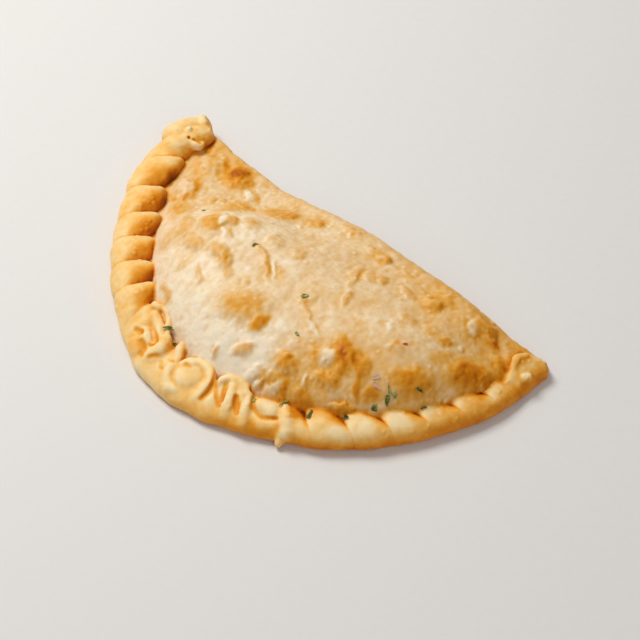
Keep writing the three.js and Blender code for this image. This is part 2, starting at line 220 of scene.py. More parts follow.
# The coiled disc of the uneven stretch: place, radius and half height
DISC = ((147.0, -3.2, 5.5), 5.8, 3.7)

# The flap folded over at the flat tip: its corners along and out, and its height at them
FLAP = [
    (273.6, -0.4, 8.2), (279, -3.6, 9.6), (284.4, -6.2, 10.4), (289.6, -3.8, 9.6),
    (292.6, 2.6, 6.6), (290.4, 5.2, 5.2), (277, 4.2, 5.4),
]

# Slots and hollows between the rolls: the tone painted in them, mostly painted shade and partly the
# dough's own browned colour, and the places that each passes
HOLLOWS = {
    "knot_slot": (0.63, [
        (13.0, -4.1, 11.3, 0.3), (12.6, -5.6, 11.3, 0.3), (12.1, -7.0, 10.7, 0.3),
    ]),
    "knot_hole": (0.74, [(13.5, -2.1, 11.7, 0.3), (13.7, -2.5, 11.4, 0.3)]),
    "knot_shade": (0.54, [(8.4, -0.6, 13.5, 0.5), (8.0, -2.6, 13.1, 0.6)]),
    "dimple": (0.45, [(117.2, 1.7, 8, 1), (119.4, 0.2, 8.6, 1)]),
    "nub_side": (0.45, [(120.4, -4, 9.4, 0.7), (124.9, -3.3, 9, 0.8), (127.4, -2.6, 8.7, 0.6)]),
    "valley": (0.41, [(123, 1.8, 8.3, 0.7), (125.4, 2, 8, 1), (127.2, 4.4, 7, 1)]),
    "nub_end": (0.63, [(126.6, -0.2, 8.6, 0.6), (127.4, -1.2, 8.8, 0.5)]),
    "peak_crease": (0.5, [
        (131, 3.2, 8.2, 0.6), (132.8, 0.4, 8.7, 0.6), (135.4, -1.8, 8.7, 0.7),
        (137.8, -2.8, 8.5, 0.6),
    ]),
    "deep_recess": (0.43, [(135.2, 0.4, 8.1, 0.7), (137, 2, 7.5, 0.6)]),
    "disc_side": (0.45, [(141.2, -2.1, 8.8, 0.2), (143, 2.0, 8.2, 0.3), (147, 3.4, 7.6, 0.2)]),
    "disc_dimple": (0.38, [(143.7, -4.7, 9.8, 0.6), (145, -5, 9.8, 0.5)]),
    "wrap_side": (0.45, [
        (154.8, -10.2, 9.6, 0.6), (157.5, -5.8, 8.9, 0.7), (158, -1.6, 8.2, 0.7),
        (157.4, 2.2, 7.4, 0.5),
    ]),
    "vee_left": (0.45, [(158.7, -5, 8.7, 0.3), (161.6, -1.8, 8.2, 0.6), (164.2, 1, 7.4, 0.6)]),
    "vee_right": (0.45, [(162.2, -6.8, 8.9, 0.4), (163, -4.8, 8.5, 0.6), (164.5, -0.8, 7.7, 0.6)]),
    "leg_recess": (0.4, [(168.4, -4.6, 8.3, 0.7), (169.9, -1.8, 7.7, 1), (171.4, 0.9, 7.2, 0.7)]),
    "arch_side": (0.72, [(172.2, -10.8, 9.2, 0.5), (172.9, -8.8, 8.8, 0.4)]),
    "crescent": (0.45, [
        (174.8, -6.4, 8.8, 0.4), (176.6, -2.8, 8, 0.4), (180.9, -0.7, 7.4, 0.4),
        (185.6, -1.6, 7.4, 0.4),
    ]),
}
HOLLOW_BLEND = 0.9
HOLLOW_LEAN = 0.25

# Marks of the fried top, as blisters, ridges and stains, some of them painted light: the palest,
# with tone below 0.2, are partly painted highlights on ridges and blisters, and the mark at
# (-80.5, -5.5) with no rise is a painted shadow along the knot's side. Place, length, width,
# heading in degrees, rise and tone, from 0 where the skin stayed pale to 1 where it browned
MARKS = [
    (-65.8, -27, 9, 3.6, 125, 0.3, 0.58), (-64, -34, 7, 3.4, 60, 0.3, 0.54),
    (-70.6, -14.2, 9, 8, 20, 1.4, 0.36), (-66.6, -10.8, 7, 3, 120, 0.2, 0.58),
    (-69, -30.5, 8, 9, 25, 1.7, 0.24), (-69.5, -38.5, 3, 3, 0, 0.5, 0.48),
    (-62, -41.5, 8, 9, 30, 0.8, 0.44), (-55.5, -29.5, 2.6, 3.2, 45, 0.6, 0.43),
    (-52, -27, 3.2, 3.2, 0, 0.6, 0.43), (-58.5, -12, 9, 10, 35, 1.8, 0.9),
    (-55, -15.5, 8, 4.2, 50, 0.5, 0.58), (-52, -12, 4, 3.2, 50, 0.6, 0.58),
    (-46.5, -17, 6, 2.8, 140, 0.6, 0.12), (-44.2, -15.7, 7.5, 2, 140, 0.3, 0.48),
    (-42, -23.5, 7.5, 3.2, 10, 0.7, 0.58), (-44, -30, 17, 8, 100, 0.7, 0.44),
    (-37, -46.5, 10, 10, 0, 1.2, 0.52), (-33.5, -42.5, 3.4, 4.8, 35, 0.9, 0.12),
    (-31.2, -40.2, 3.6, 4.4, 60, 0.7, 0.53), (-29.4, -46.4, 3.4, 1.9, 145, 0.4, 0.13),
    (-27.6, -45.4, 5, 1.5, 140, 0.3, 0.46), (-47, -50.5, 19, 5.2, 140, 1.1, 0.42),
    (-49, -58, 9, 8, 80, 0.7, 0.34), (-35, -57, 8.5, 4.6, 0, 0.8, 0.44),
    (-32.5, -66, 4.6, 3.2, 60, 0.4, 0.32), (-23.5, -66, 8.5, 1.8, 140, 0.4, 0.34),
    (-25, -54.5, 9, 5, 175, 1.2, 0.48), (-19.5, -56.5, 6.2, 4.8, 145, 1.2, 0.56),
    (-15, -59.5, 6, 3.2, 145, 0.4, 0.38), (-12.5, -44, 6.5, 2, 165, 0.6, 0.44),
    (-6, -48, 10, 2.2, 140, 0.7, 0.46), (-2.2, -47.8, 7.1, 1.9, 132, 0.5, 0.12),
    (0.5, -46.5, 6, 3, 135, 0.4, 0.38), (-28, -19, 16, 12, 10, 1.2, 0.48),
    (-24, -18, 8, 4.5, 95, 0.5, 0.58), (-14.5, -14, 8.4, 7.5, 55, 0.9, 0.48),
    (-11.5, -13.5, 3.4, 3.4, 0, 0.4, 0.58), (-25.5, -36, 6.5, 6.5, 0, 0.7, 0.38),
    (-13, -36, 6, 6.5, 15, 0.7, 0.3), (-2, -35, 5.2, 4, 25, 0.8, 0.38),
    (-6, -58.5, 3.2, 3, 0, 0.4, 0.38), (-9, -60.5, 2.7, 2.4, 0, 0.4, 0.34),
    (0, -66.5, 17, 10.5, 30, 1.4, 0.5), (9, -69, 5.8, 4, 85, 0.7, 0.72),
    (11.2, -66.2, 4, 3, 85, 0.2, 0.58), (16, -48, 5.8, 4.2, 50, 0.5, 0.32),
    (-30, -77, 9.5, 2.4, 155, 0.2, 0.42), (0.5, -8.5, 8.6, 3.4, 0, 0.8, 0.44),
    (16.5, -10.5, 10, 4, 5, 0.7, 0.42), (20.5, -10.5, 3.7, 3.6, 15, 1.1, 0.64),
    (27, -20.5, 4.2, 5, 30, 1.2, 0.5), (23, -23, 4.2, 5, 45, 0.7, 0.34),
    (19.2, -27.2, 12, 3, 115, 0.6, 0.38), (26, -38.5, 8.2, 2.7, 110, 0.6, 0.38),
    (30, -10, 3.6, 2.8, 15, 0.5, 0.44), (37.5, -18.5, 7, 3.6, 175, 0.8, 0.44),
    (48.5, -16, 5, 4.2, 25, 1.2, 0.64), (49, -12.5, 14, 5.4, 50, 0.9, 0.5),
    (60.5, -6.5, 7.6, 3.2, 0, 0.5, 0.5), (64.5, -11.8, 6.6, 3.2, 140, 0.6, 0.16),
    (68, -9, 9.4, 5.2, 170, 1.5, 0.6), (73, -10, 3.6, 2.2, 35, 0.3, 0.72),
    (47.5, -29.5, 6.6, 5, 0, 0.8, 0.42), (63, -26.5, 5, 3, 40, 0.6, 0.6),
    (57, -27.5, 5.2, 6.5, 30, 0.5, 0.38), (46, -37, 5.2, 2.2, 130, 0.2, 0.18),
    (53.5, -42.5, 5.4, 2.5, 30, 0.5, 0.44), (51.5, -44.8, 2.2, 2.2, 0, 0.2, 0.2),
    (66, -33, 8.4, 3.4, 70, 0.2, 0.46), (77, -28.4, 16.5, 9, 52, 1.2, 0.74),
    (80.5, -15, 7.2, 4.4, 160, 0.8, 0.68), (65.5, -47.5, 14, 8, 40, 1.3, 0.66),
    (11.5, -78, 6.6, 3.4, 35, 1.1, 0.42), (3.5, -84, 4.8, 2, 110, 0.8, 0.42),
    (27.5, -72.3, 7, 4.8, 0, 1.6, 0.64), (20, -82, 6.6, 3.8, 77, 0.9, 0.12),
    (23.2, -80, 4.2, 1.7, 105, 0.2, 0.46), (23.2, -83.6, 5.4, 1.7, 65, 0.9, 0.18),
    (27, -77.8, 7.2, 3.2, 40, 0.4, 0.44), (28.8, -80.5, 6.6, 3, 55, 0.9, 0.23),
    (32.4, -78.2, 5.5, 2.2, 115, 0.2, 0.64), (37, -72.4, 3.6, 1.5, 128, 0.5, 0.13),
    (39.5, -76.6, 7, 4.4, 10, 0.9, 0.6), (38.3, -61.7, 6, 5.6, 30, 1.2, 0.12),
    (41.5, -57.3, 12, 5.8, 140, 1.2, 0.82), (47.5, -56.2, 10.5, 5.4, 155, 0.9, 0.66),
    (34, -63.5, 4.3, 4.2, 0, 0.5, 0.5), (42.5, -67.6, 8.2, 3.6, 15, 1.2, 0.62),
    (52.8, -62, 7.6, 2.2, 127, 0.2, 0.74), (52.7, -70, 7.6, 2.6, 28, 1.2, 0.64),
    (19.5, -53.5, 11.4, 1.9, 148, 0.4, 0.38), (26.5, -56.6, 7.1, 2.5, 157, 0.3, 0.12),
    # The mark at (-80.5, -5.5), with no rise, is a painted shadow: a brown strip of shade along the
    # knot's right side.
    (58, -60, 6.8, 3.2, 50, 0.5, 0.64), (-80.5, -5.5, 12, 3, 124, 0, 0.93),
    (45, -63.5, 6, 4, 100, 0.5, 0.56),
]

# Flakes of dried herb, within 3 mm of their solids: place, length, width, heading and hue, 0 for
# green, 0.5 for a pale petal and 1 for a red scrap
FLAKES = [
    (-52.1, -36.5, 1.6, 1.1, 20, 0), (-16.4, -43.5, 2.4, 1.4, 60, 0), (14.8, -49, 3.0, 1.6, 45, 0),
    (23.6, -62.2, 2.8, 1.0, -10, 0), (-19.1, -86.6, 4.4, 1.5, 30, 0),
    (-14.1, -88.2, 2.6, 1.3, 70, 0), (-5.6, -91.2, 2.2, 1.2, 10, 0), (26.3, -87.3, 3.0, 1.6, 50, 0),
    (35.3, -80.8, 4.2, 2.0, 80, 0), (45.4, -78.6, 3.8, 1.8, 100, 0), (55.6, -70.6, 2.6, 1.6, 40, 0),
    (61, -61.8, 3.4, 2.2, 120, 0), (62.9, -57.2, 4.8, 1.7, 128, 0), (61.6, -55, 3.6, 0.7, 135, 0),
    (63.9, -54.6, 3.4, 1.8, -18, 0), (69.3, -47.2, 3.6, 1.2, 10, 0), (72.8, -48.7, 2.6, 0.9, 60, 0),
    (57.6, -57.2, 3.6, 1.3, -6, 0.5), (55.8, -55.5, 3.2, 1.3, 60, 0.5),
    (55.3, -39.5, 2.0, 0.9, 50, 1),
]

# How softly the pouch and the crimp run into each other
SEAM_BLEND = 0.8

# The grid that the dough is meshed on
GRID_PITCH = 0.5
GRID_LOW = np.array([-100.3, -108.5, -1.15])
GRID_HIGH = np.array([95.0, 4.2, 25.4])

# The distance is worked out in full this near to the skin, and at any height this far in from the
# crimp's centre line and from the fold, and this high above the base
NEAR_SKIN = 3.0
CRIMP_BAND = 15
FOLD_BAND = 20
BASE_BAND = 2

# How the mesh is brought onto the skin: how often, the step over which the slope of the distance
# is taken, the least slope, the largest move and the share of it that is made
FITTING_ROUNDS = 2
SLOPE_STEP = 0.15
LEAST_SLOPE = 0.5
LARGEST_MOVE = 0.25
MOVE_SHARE = 0.8

# Where the skin turns from the pouch's to the crimp's: how much further off the pouch's own
# surface is than the crimp's
CRIMP_EDGE = (-0.5, 0.6)


def lerp(start, end, share):
    return start + (end - start) * share


def smoothstep(low, high, value):
    share = np.clip((value - low) / (high - low), 0, 1)
    return share * share * (3 - 2 * share)


def eased(stations, place):
    """Values at each place from a list of places and their values, eased from one to the next."""
    table = np.array(stations, float)
    step = np.clip(np.searchsorted(table[:, 0], place), 1, len(table) - 1)
    share = smoothstep(table[step - 1, 0], table[step, 0], place)
    values = lerp(table[step - 1, 1:], table[step, 1:], share[..., None])
    return values[..., 0] if table.shape[1] == 2 else np.moveaxis(values, -1, 0)


def smooth_union(first, second, blend):
    """Signed distance to two solids together, with the groove between them softened."""
    near = np.maximum(blend - np.abs(first - second), 0) / blend
    return np.minimum(first, second) - 0.25 * blend * near * near


def smooth_cut(solid, hollow, blend):
    return -smooth_union(-solid, hollow, blend)


def lumps(points, size, seed):
    """Smooth noise from about -1 to 1 at points, with lumps of a size in millimetres."""
    scaled = points / size
    cell = np.floor(scaled).astype(np.int64)
    inside = scaled - cell
    fade = inside ** 3 * (inside * (inside * 6 - 15) + 10)
    total = np.zeros(len(points))
    for corner in np.ndindex(2, 2, 2):
        offset = np.array(corner)
        mixed = (cell + offset) @ np.array([73856093, 19349663, 83492791]) + seed * 40503
        mixed = ((mixed ^ (mixed >> 13)) * 1274126177) & 0xFFFFFFFF
        mixed = ((mixed ^ (mixed >> 15)) * 73244475) & 0xFFFFFFFF
        slope = np.stack([(mixed >> shift) & 0x3FF for shift in (0, 10, 20)], axis=1) / 511.5 - 1
        weight = np.prod(np.where(offset, fade, 1 - fade), axis=1)
        total += weight * np.sum(slope * (inside - offset), axis=1)
    return 1.5 * total


def layered(points, layers):
    """Smooth noise of several sizes, from the size, strength and seed of each."""
    return sum(strength * lumps(points, size, seed) for size, strength, seed in layers)


# The crimp's centre line, from the knotted tip round to the tapered one
CRIMP_HALF = HALF_LENGTH - CRIMP_INSET
CRIMP_REACH = REACH - CRIMP_INSET
crimp_turn = np.linspace(math.pi, 2 * math.pi, 4001)
crimp_steps = np.hypot(
    np.diff(CRIMP_HALF * np.cos(crimp_turn)), np.diff(CRIMP_REACH * np.sin(crimp_turn))
)
crimp_along = np.concatenate([[0], np.cumsum(crimp_steps)])
CRIMP_LENGTH = crimp_along[-1]


def crimp_point(turn):
    """Point, forward and outward directions of the crimp's centre line."""
    point = np.stack([CRIMP_HALF * np.cos(turn), CRIMP_REACH * np.sin(turn)], axis=-1)
    forward = np.stack([-CRIMP_HALF * np.sin(turn), CRIMP_REACH * np.cos(turn)], axis=-1)
    forward /= np.linalg.norm(forward, axis=-1, keepdims=True)
    outward = np.stack([forward[..., 1], -forward[..., 0]], axis=-1)
    return point, forward, outward


def crimp_place(x, y):
    """Distance along the crimp and distance out from its centre line of points of the plan."""
    turn = np.arctan2(y / CRIMP_REACH, x / CRIMP_HALF) % (2 * math.pi)
    turn = np.where(turn < math.pi, np.where(x < 0, math.pi, 2 * math.pi), turn)
    plan = np.stack([x, y], axis=-1)
    for _ in range(7):
        point = np.stack([CRIMP_HALF * np.cos(turn), CRIMP_REACH * np.sin(turn)], axis=-1)
        speed = np.stack([-CRIMP_HALF * np.sin(turn), CRIMP_REACH * np.cos(turn)], axis=-1)
        square = np.sum(speed * speed, axis=-1)
        slope = square - np.sum((point - plan) * point, axis=-1)
        step = np.sum((point - plan) * speed, axis=-1) / np.maximum(slope, 0.3 * square)
        turn = np.clip(turn - step, math.pi, 2 * math.pi)
    point, forward, outward = crimp_point(turn)
    away = plan - point
    along = np.interp(turn, crimp_turn, crimp_along) + np.sum(away * forward, axis=-1)
    return along, np.sum(away * outward, axis=-1)


def crimp_frame(along, out, height):
    """Place, outward and forward directions at a distance along the crimp, past its ends too."""
    kept = min(max(along, 0), CRIMP_LENGTH)
    point, forward, outward = crimp_point(np.interp(kept, crimp_along, crimp_turn))
    place = point + out * outward + (along - kept) * forward
    return np.array([*place, height]), np.array([*outward, 0]), np.array([*forward, 0])


def filling_share(x, y):
    """Share of the full filling: none at the knotted tip, less at the other one."""
    run = FILLING_LINE_BACK - FILLING_LINE_FRONT
    across = (x - FILLING_LINE_FRONT[0]) * run[1] - (y - FILLING_LINE_FRONT[1]) * run[0]
    started = smoothstep(*FILLING_GROWS, across / np.hypot(*run))
    return started * (1 - FLAT_TIP_LOSS * smoothstep(*FLAT_TIP_THINS, x))


def fold_radius(x):
    """Radius of the fold, pressed thin at both tips."""
    opened = smoothstep(-44, 8, x) * (1 - 0.95 * smoothstep(56, 84, x))
    return lerp(THIN_FOLD_RADIUS, FULL_FOLD_RADIUS, opened)


def raised_marks(x, y):
    """How far the marks of the top raise it."""
    raised = np.zeros_like(x)
    for rise, _, picks, share in marks_near(x, y):
        raised[picks] += rise * share
    return raised * smoothstep(1, 5, -y)


# How far from its middle a mark fades, as a share of its length and width, and how steeply
MARK_REACH = 0.56
MARK_STEEPNESS = 3.4


def marks_near(x, y):
    """For each mark: its rise, its tone, the points near it, and how far it covers each of them."""
    x, y = warped(x, y)
    for middle_x, middle_y, length, width, heading, rise, tone in MARKS:
        far = max(length, width)
        picks = np.flatnonzero((np.abs(x - middle_x) < far) & (np.abs(y - middle_y) < far))
        away_x, away_y = x[picks] - middle_x, y[picks] - middle_y
        turn = math.radians(heading)
        along = (away_x * math.cos(turn) + away_y * math.sin(turn)) / (MARK_REACH * length)
        across = (away_y * math.cos(turn) - away_x * math.sin(turn)) / (MARK_REACH * width)
        yield rise, tone, picks, np.exp(-np.hypot(along, across) ** MARK_STEEPNESS)


def warped(x, y):
    """Plan pushed about a little, so that blisters are as uneven as hot fat leaves them."""
    plan = np.stack([x, y, np.zeros_like(x)], axis=-1)
    push_x, push_y = [layered(plan, [(6, 1.2, seed), (2.4, 0.7, seed + 2)]) for seed in (11, 12)]
    return x + push_x, y + push_y


def top_height(x, y):
    """Height of the top skin over points of the plan."""
    radius = fold_radius(x)
    from_fold = -eased(FOLD_BOW, x) - y - radius
    filled = EMPTY_HEIGHT + FILLING_RISE * filling_share(x, y)
    full = lerp(2 * radius, filled, smoothstep(0, FOLD_SHOULDER, from_fold))
    out = np.hypot(x / HALF_LENGTH, y / REACH)
    near_tip = smoothstep(*SHOULDER_CHANGES, x)
    start = lerp(*SHOULDER_START, near_tip) - SHOULDER_INSET * smoothstep(*INSET_CHANGES, x)
    inside = np.clip((start - out) / lerp(*SHOULDER_WIDTH, near_tip), 0, 1)
    shoulder = (1 - (1 - inside) ** 2) ** SHOULDER_ROUNDNESS
    along_fold = smoothstep(FOLD_CREST, 0, from_fold) * smoothstep(0.99, 0.92, out)
    return SEAM_HEIGHT + (full - SEAM_HEIGHT) * np.maximum(shoulder, along_fold)


fold_draw = np.random.default_rng(SEED + 2)
FOLD_RISES = fold_draw.uniform(-FOLD_DIFFERENCE, FOLD_DIFFERENCE, len(CREASES))


class Plan:
    """What the dough's shape takes from a point's place in plan alone."""

    # Step over which the slope of the top is taken
    STEP = 0.2

    def __init__(self, x, y):
        self.along, self.out = crimp_place(x, y)
        self.height = top_height(x, y)
        slope_x = (top_height(x + self.STEP, y) - self.height) / self.STEP
        slope_y = (top_height(x, y + self.STEP) - self.height) / self.STEP
        self.steepness = np.sqrt(1 + slope_x ** 2 + slope_y ** 2)
        self.raised = raised_marks(x, y)
        self.fold_radius = fold_radius(x)
        self.fold_middle = -eased(FOLD_BOW, x) - self.fold_radius
        self.past_arc = np.maximum(np.maximum(-self.along, self.along - CRIMP_LENGTH), 0)
        rope = eased(ROPE, self.along)
        self.half_width, self.half_height, self.middle, self.depth, twist, self.left = rope
        self.middle = self.middle + eased(ARC_WANDER, self.along)
        plan = np.stack([x, y, np.zeros_like(x)], axis=-1)
        wander = CREASE_WANDER * lumps(plan, 7, 13)
        turned = self.along - twist * (self.out - CREASE_OUT) + wander
        fold = np.clip(np.searchsorted(CREASES, turned), 1, len(CREASES) - 1)
        width = CREASES[fold] - CREASES[fold - 1]
        self.fold_share = np.clip((turned - CREASES[fold - 1]) / width, 0, 1)
        away = np.abs(2 * self.fold_share ** FOLD_LEAN - 1)
        arch = (np.sqrt(1 - 0.97 * away ** 2) - ARCH_FOOT) / (1 - ARCH_FOOT)
        self.lobe = lerp(1 - away ** 3, arch, FOLD_ARCH)
        self.rise = FOLD_RISES[fold]

    def at(self, picks):
        """The same for some of the points."""
        part = object.__new__(Plan)
        part.__dict__ = {name: value[picks] for name, value in self.__dict__.items()}
        return part


def rope_place(z, plan):
    """Place in the rope's section: share of its half width out and of its half height up."""
    away = plan.out - plan.middle
    up = z - ROPE_MIDDLE * plan.half_height + ROPE_SLOPE * away
    return away / plan.half_width, up / plan.half_height


def rope_distance(z, plan):
    """The crimp's rope, with a crease where each fold is laid over the last."""
    across, up = rope_place(z, plan)
    power = ROPE_SQUARENESS
    wide, high = np.maximum(np.abs(across), 0.02), np.maximum(np.abs(up), 0.02)
    reach = (wide ** power + high ** power) ** (1 / power)
    slope = np.hypot(wide ** (power - 1) / plan.half_width, high ** (power - 1) / plan.half_height)
    rope = reach ** (power - 1) * (reach - 1) / slope
    depth = plan.depth * lerp(CREASE_INSIDE, plan.left, smoothstep(-0.6, 0.6, across))
    depth = depth * lerp(CREASE_BELOW, 1, smoothstep(-0.7, 0.3, up))
    return rope + depth * (1 - plan.lobe) - plan.rise * plan.lobe + 1.5 * plan.past_arc


def body_distance(x, y, z, plan):
    """The filled pouch: the domed skin and the rounded fold."""
    skin = (z - plan.height) / plan.steepness
    pouch = np.maximum.reduce([skin, y - plan.fold_middle, plan.out - plan.middle])
    past_end = np.maximum.reduce([FOLD_ENDS[0] - x, x - FOLD_ENDS[1], np.zeros_like(x)])
    fold = np.sqrt(
        (y - plan.fold_middle) ** 2 + (z - plan.fold_radius) ** 2 + past_end ** 2
    ) - plan.fold_radius
    upper = smoothstep(0.2, 1, z / plan.fold_radius - 0.4)
    return np.minimum(pouch, fold) - upper * plan.raised


# How far outside its own box a piece of the crimp still shapes it, how far above or below its
# own the flap does, and how round the flap's edges are
PIECE_MARGIN = 3
FLAP_MARGIN = 8
FLAP_ROUNDING = 2.2


class Roll:
    """A roll of dough with round ends through a chain of places, thick and thin as they say. One
    that leans spreads to the side that lies forward along the crimp."""

    def __init__(self, chain, lean=0):
        stations = np.array([[*crimp_frame(*place)[0], radius] for *place, radius in chain])
        ends = np.vstack([2 * stations[0] - stations[1], stations, 2 * stations[-1] - stations[-2]])
        steps = []
        for before, start, end, after in zip(ends, ends[1:], ends[2:], ends[3:]):
            for share in (0, 1 / 3, 2 / 3):
                turned = (end - before, after - start)
                bend = share * (1 - share) * ((1 - share) * turned[0] - share * turned[1]) / 2
                steps.append(lerp(start, end, share * share * (3 - 2 * share)) + bend)
        steps = np.array([*steps, stations[-1]])
        self.places, self.radii = steps[:, :3], steps[:, 3]
        self.lean = lean
        self.forward = crimp_frame(*chain[len(chain) // 2][:3])[2]
        low, high = self.places.min(axis=0), self.places.max(axis=0)
        self.place = (low + high) / 2
        self.far = (high - low) / 2 + self.radii.max() + PIECE_MARGIN

    def distance(self, points):
        found = np.full(len(points), np.inf)
        for step in range(len(self.places) - 1):
            run = self.places[step + 1] - self.places[step]
            away = points - self.places[step]
            share = np.clip(away @ run / (run @ run), 0, 1)
            radius = lerp(self.radii[step], self.radii[step + 1], share)
            offset = away - share[:, None] * run
            spread = self.lean * np.maximum(offset @ self.forward, 0)
            part = np.linalg.norm(offset - spread[:, None] * self.forward, axis=1) - radius
            found = np.minimum(found, part)
        return found


class Flap:
    """A flat flap of dough with rounded edges over a plan with corners."""

    def __init__(self, corners):
        self.corners = np.array([crimp_frame(*corner)[0] for corner in corners])
        low, high = self.corners.min(axis=0), self.corners.max(axis=0)
        self.place = (low + high) / 2
        self.far = (high - low) / 2 + [PIECE_MARGIN, PIECE_MARGIN, FLAP_MARGIN]
        level = np.column_stack([self.corners[:, :2], np.ones(len(corners))])
        self.plane = np.linalg.lstsq(level, self.corners[:, 2], rcond=None)[0]

    def distance(self, points):
        sides = []
        for start, end in zip(self.corners, np.roll(self.corners, -1, axis=0)):
            run = (end - start)[:2] / np.hypot(*(end - start)[:2])
            away = points[:, :2] - start[:2]
            sides.append(away[:, 1] * run[0] - away[:, 0] * run[1])
        outside = np.max(sides, axis=0)
        top = points[:, 2] - points[:, :2] @ self.plane[:2] - self.plane[2]
        return -smooth_union(-outside, -top, FLAP_ROUNDING)


class Pillow:
    """A round cake of dough with a flat top."""

    def __init__(self, place, radius, half_height):
        self.place = crimp_frame(*place)[0]
        self.size = np.array([radius, radius, half_height])
        self.far = self.size + PIECE_MARGIN

    def distance(self, points):
        away = (points - self.place) / self.size
        across = np.hypot(away[:, 0], away[:, 1])
        reach = (across ** 3 + np.abs(away[:, 2]) ** 3) ** (1 / 3)
        return (reach - 1) * self.size[2]


roll_pieces = [Pillow(*DISC), Flap(FLAP)] + [Roll(chain) for chain in ROLLS.values()]
hollow_pieces = [Roll(chain, HOLLOW_LEAN) for _, chain in HOLLOWS.values()]


def near(piece, points):
    return np.flatnonzero(np.all(np.abs(points - piece.place) < piece.far, axis=1))


def crimp_distance(points, plan):
    """The rope and the rolls on it, less the hollows between them."""
    distance = rope_distance(points[:, 2], plan)
    for pieces, join, blend in (
        (roll_pieces, smooth_union, ROLL_BLEND), (hollow_pieces, smooth_cut, HOLLOW_BLEND)
    ):
        for piece in pieces:
            picks = near(piece, points)
            distance[picks] = join(distance[picks], piece.distance(points[picks]), blend)
    return distance


def dough_distance(points, plan):
    """Signed distance from points to the surface of the dough."""
    body = body_distance(*points.T, plan)
    both = smooth_union(body, crimp_distance(points, plan), SEAM_BLEND)
    return np.maximum(both, -points[:, 2])


def net_of(values):
    """Vertices, in grid steps, and quads of the surface where the values change sign."""
    inside = values < 0
    cells, crossings, quads = [], [], []
    for axis in range(3):
        lower = np.moveaxis(np.moveaxis(values, axis, 0)[:-1], 0, axis)
        upper = np.moveaxis(np.moveaxis(values, axis, 0)[1:], 0, axis)
        edges = np.argwhere((lower < 0) != (upper < 0))
        start, end = lower[tuple(edges.T)], upper[tuple(edges.T)]
        crossing = edges.astype(float)
        crossing[:, axis] += start / (start - end)
        around = []
        for step_b, step_c in ((1, 1), (0, 1), (0, 0), (1, 0)):
            cell = edges.copy()
            cell[:, (axis + 1) % 3] -= step_b
            cell[:, (axis + 2) % 3] -= step_c
            around.append(np.ravel_multi_index(cell.T, values.shape))
            cells.append(around[-1])
            crossings.append(crossing)
        quad = np.stack(around, axis=1)
        quads.append(np.where((start < 0)[:, None], quad, quad[:, ::-1]))
    names, index = np.unique(np.concatenate(cells), return_inverse=True)
    crossings = np.concatenate(crossings)
    count = np.bincount(index)
    vertices = np.stack([np.bincount(index, column) / count for column in crossings.T], axis=1)
    return vertices, np.searchsorted(names, np.concatenate(quads))


def sculpted_dough():
    """The dough's surface on a fine grid, then brought exactly onto its signed distance."""
    axes = [np.arange(low, high, GRID_PITCH) for low, high in zip(GRID_LOW, GRID_HIGH)]
    plan_x, plan_y = [part.ravel() for part in np.meshgrid(*axes[:2], indexing="ij")]
    columns = Plan(plan_x, plan_y)
    by_edge = (columns.out > -CRIMP_BAND) | (plan_y > -FOLD_BAND)
    values = np.empty([len(axis) for axis in axes])
    for layer, z in enumerate(axes[2]):
        above = z - columns.height
        level = np.where(above > 0, NEAR_SKIN, -NEAR_SKIN)
        picks = np.flatnonzero(by_edge | (np.abs(above) < NEAR_SKIN) | (z < BASE_BAND))
        points = np.stack([plan_x[picks], plan_y[picks], np.full(len(picks), z)], axis=1)
        level[picks] = dough_distance(points, columns.at(picks))
        values[:, :, layer] = level.reshape(values.shape[:2])
    vertices, quads = net_of(values)
    vertices = vertices * GRID_PITCH + GRID_LOW
    for _ in range(FITTING_ROUNDS):
        plan = Plan(*vertices.T[:2])
        middle = dough_distance(vertices, plan)
        slope = np.empty_like(vertices)
        for axis in range(3):
            moved = vertices.copy()
            moved[:, axis] += SLOPE_STEP
            moved_plan = plan if axis == 2 else Plan(*moved.T[:2])
            slope[:, axis] = (dough_distance(moved, moved_plan) - middle) / SLOPE_STEP
        square = np.maximum(np.sum(slope * slope, axis=1), LEAST_SLOPE ** 2)
        step = np.clip(middle / square, -LARGEST_MOVE, LARGEST_MOVE)
        vertices -= MOVE_SHARE * step[:, None] * slope
    plan = Plan(*vertices.T[:2])
    clear = body_distance(*vertices.T, plan) - crimp_distance(vertices, plan)
    return vertices, quads, smoothstep(*CRIMP_EDGE, clear)


class Skin:
    """The dough's vertices and quads, with what relief and colour need from them."""

    def __init__(self, vertices, quads, on_crimp):
        self.vertices = vertices
        self.quads = quads
        self.edges = np.concatenate([quads[:, [a, (a + 1) % 4]] for a in range(4)])
        self.count = np.bincount(self.edges.ravel(), minlength=len(vertices))
        self.on_crimp = self.averaged(on_crimp, 2)

    def averaged(self, values, times):
        """Values smoothed over neighbouring vertices."""
        a, b = self.edges.T
        for _ in range(times):
            total = np.bincount(a, values[b], len(values)) + np.bincount(b, values[a], len(values))
            values = 0.5 * values + 0.5 * total / self.count
        return values

    def normals(self):
        corners = self.vertices[self.quads]
        face = np.cross(corners[:, 2] - corners[:, 0], corners[:, 3] - corners[:, 1])
        normal = np.stack(
            [
                np.bincount(self.quads.ravel(), np.repeat(face[:, axis], 4), len(self.vertices))
                for axis in range(3)
            ],
            axis=1,
        )
        return normal / np.maximum(np.linalg.norm(normal, axis=1, keepdims=True), 1e-9)

    def rounded(self, times):
        """The same skin with its lumps and creases smoothed away."""
        smooth = np.stack([self.averaged(column, times) for column in self.vertices.T], axis=1)
        return Skin(smooth, self.quads, self.on_crimp)

    def under(self, rounded):
        """How far each vertex lies under a rounded skin: above 0 in creases."""
        return np.sum((rounded.vertices - self.vertices) * self.normals(), axis=1)


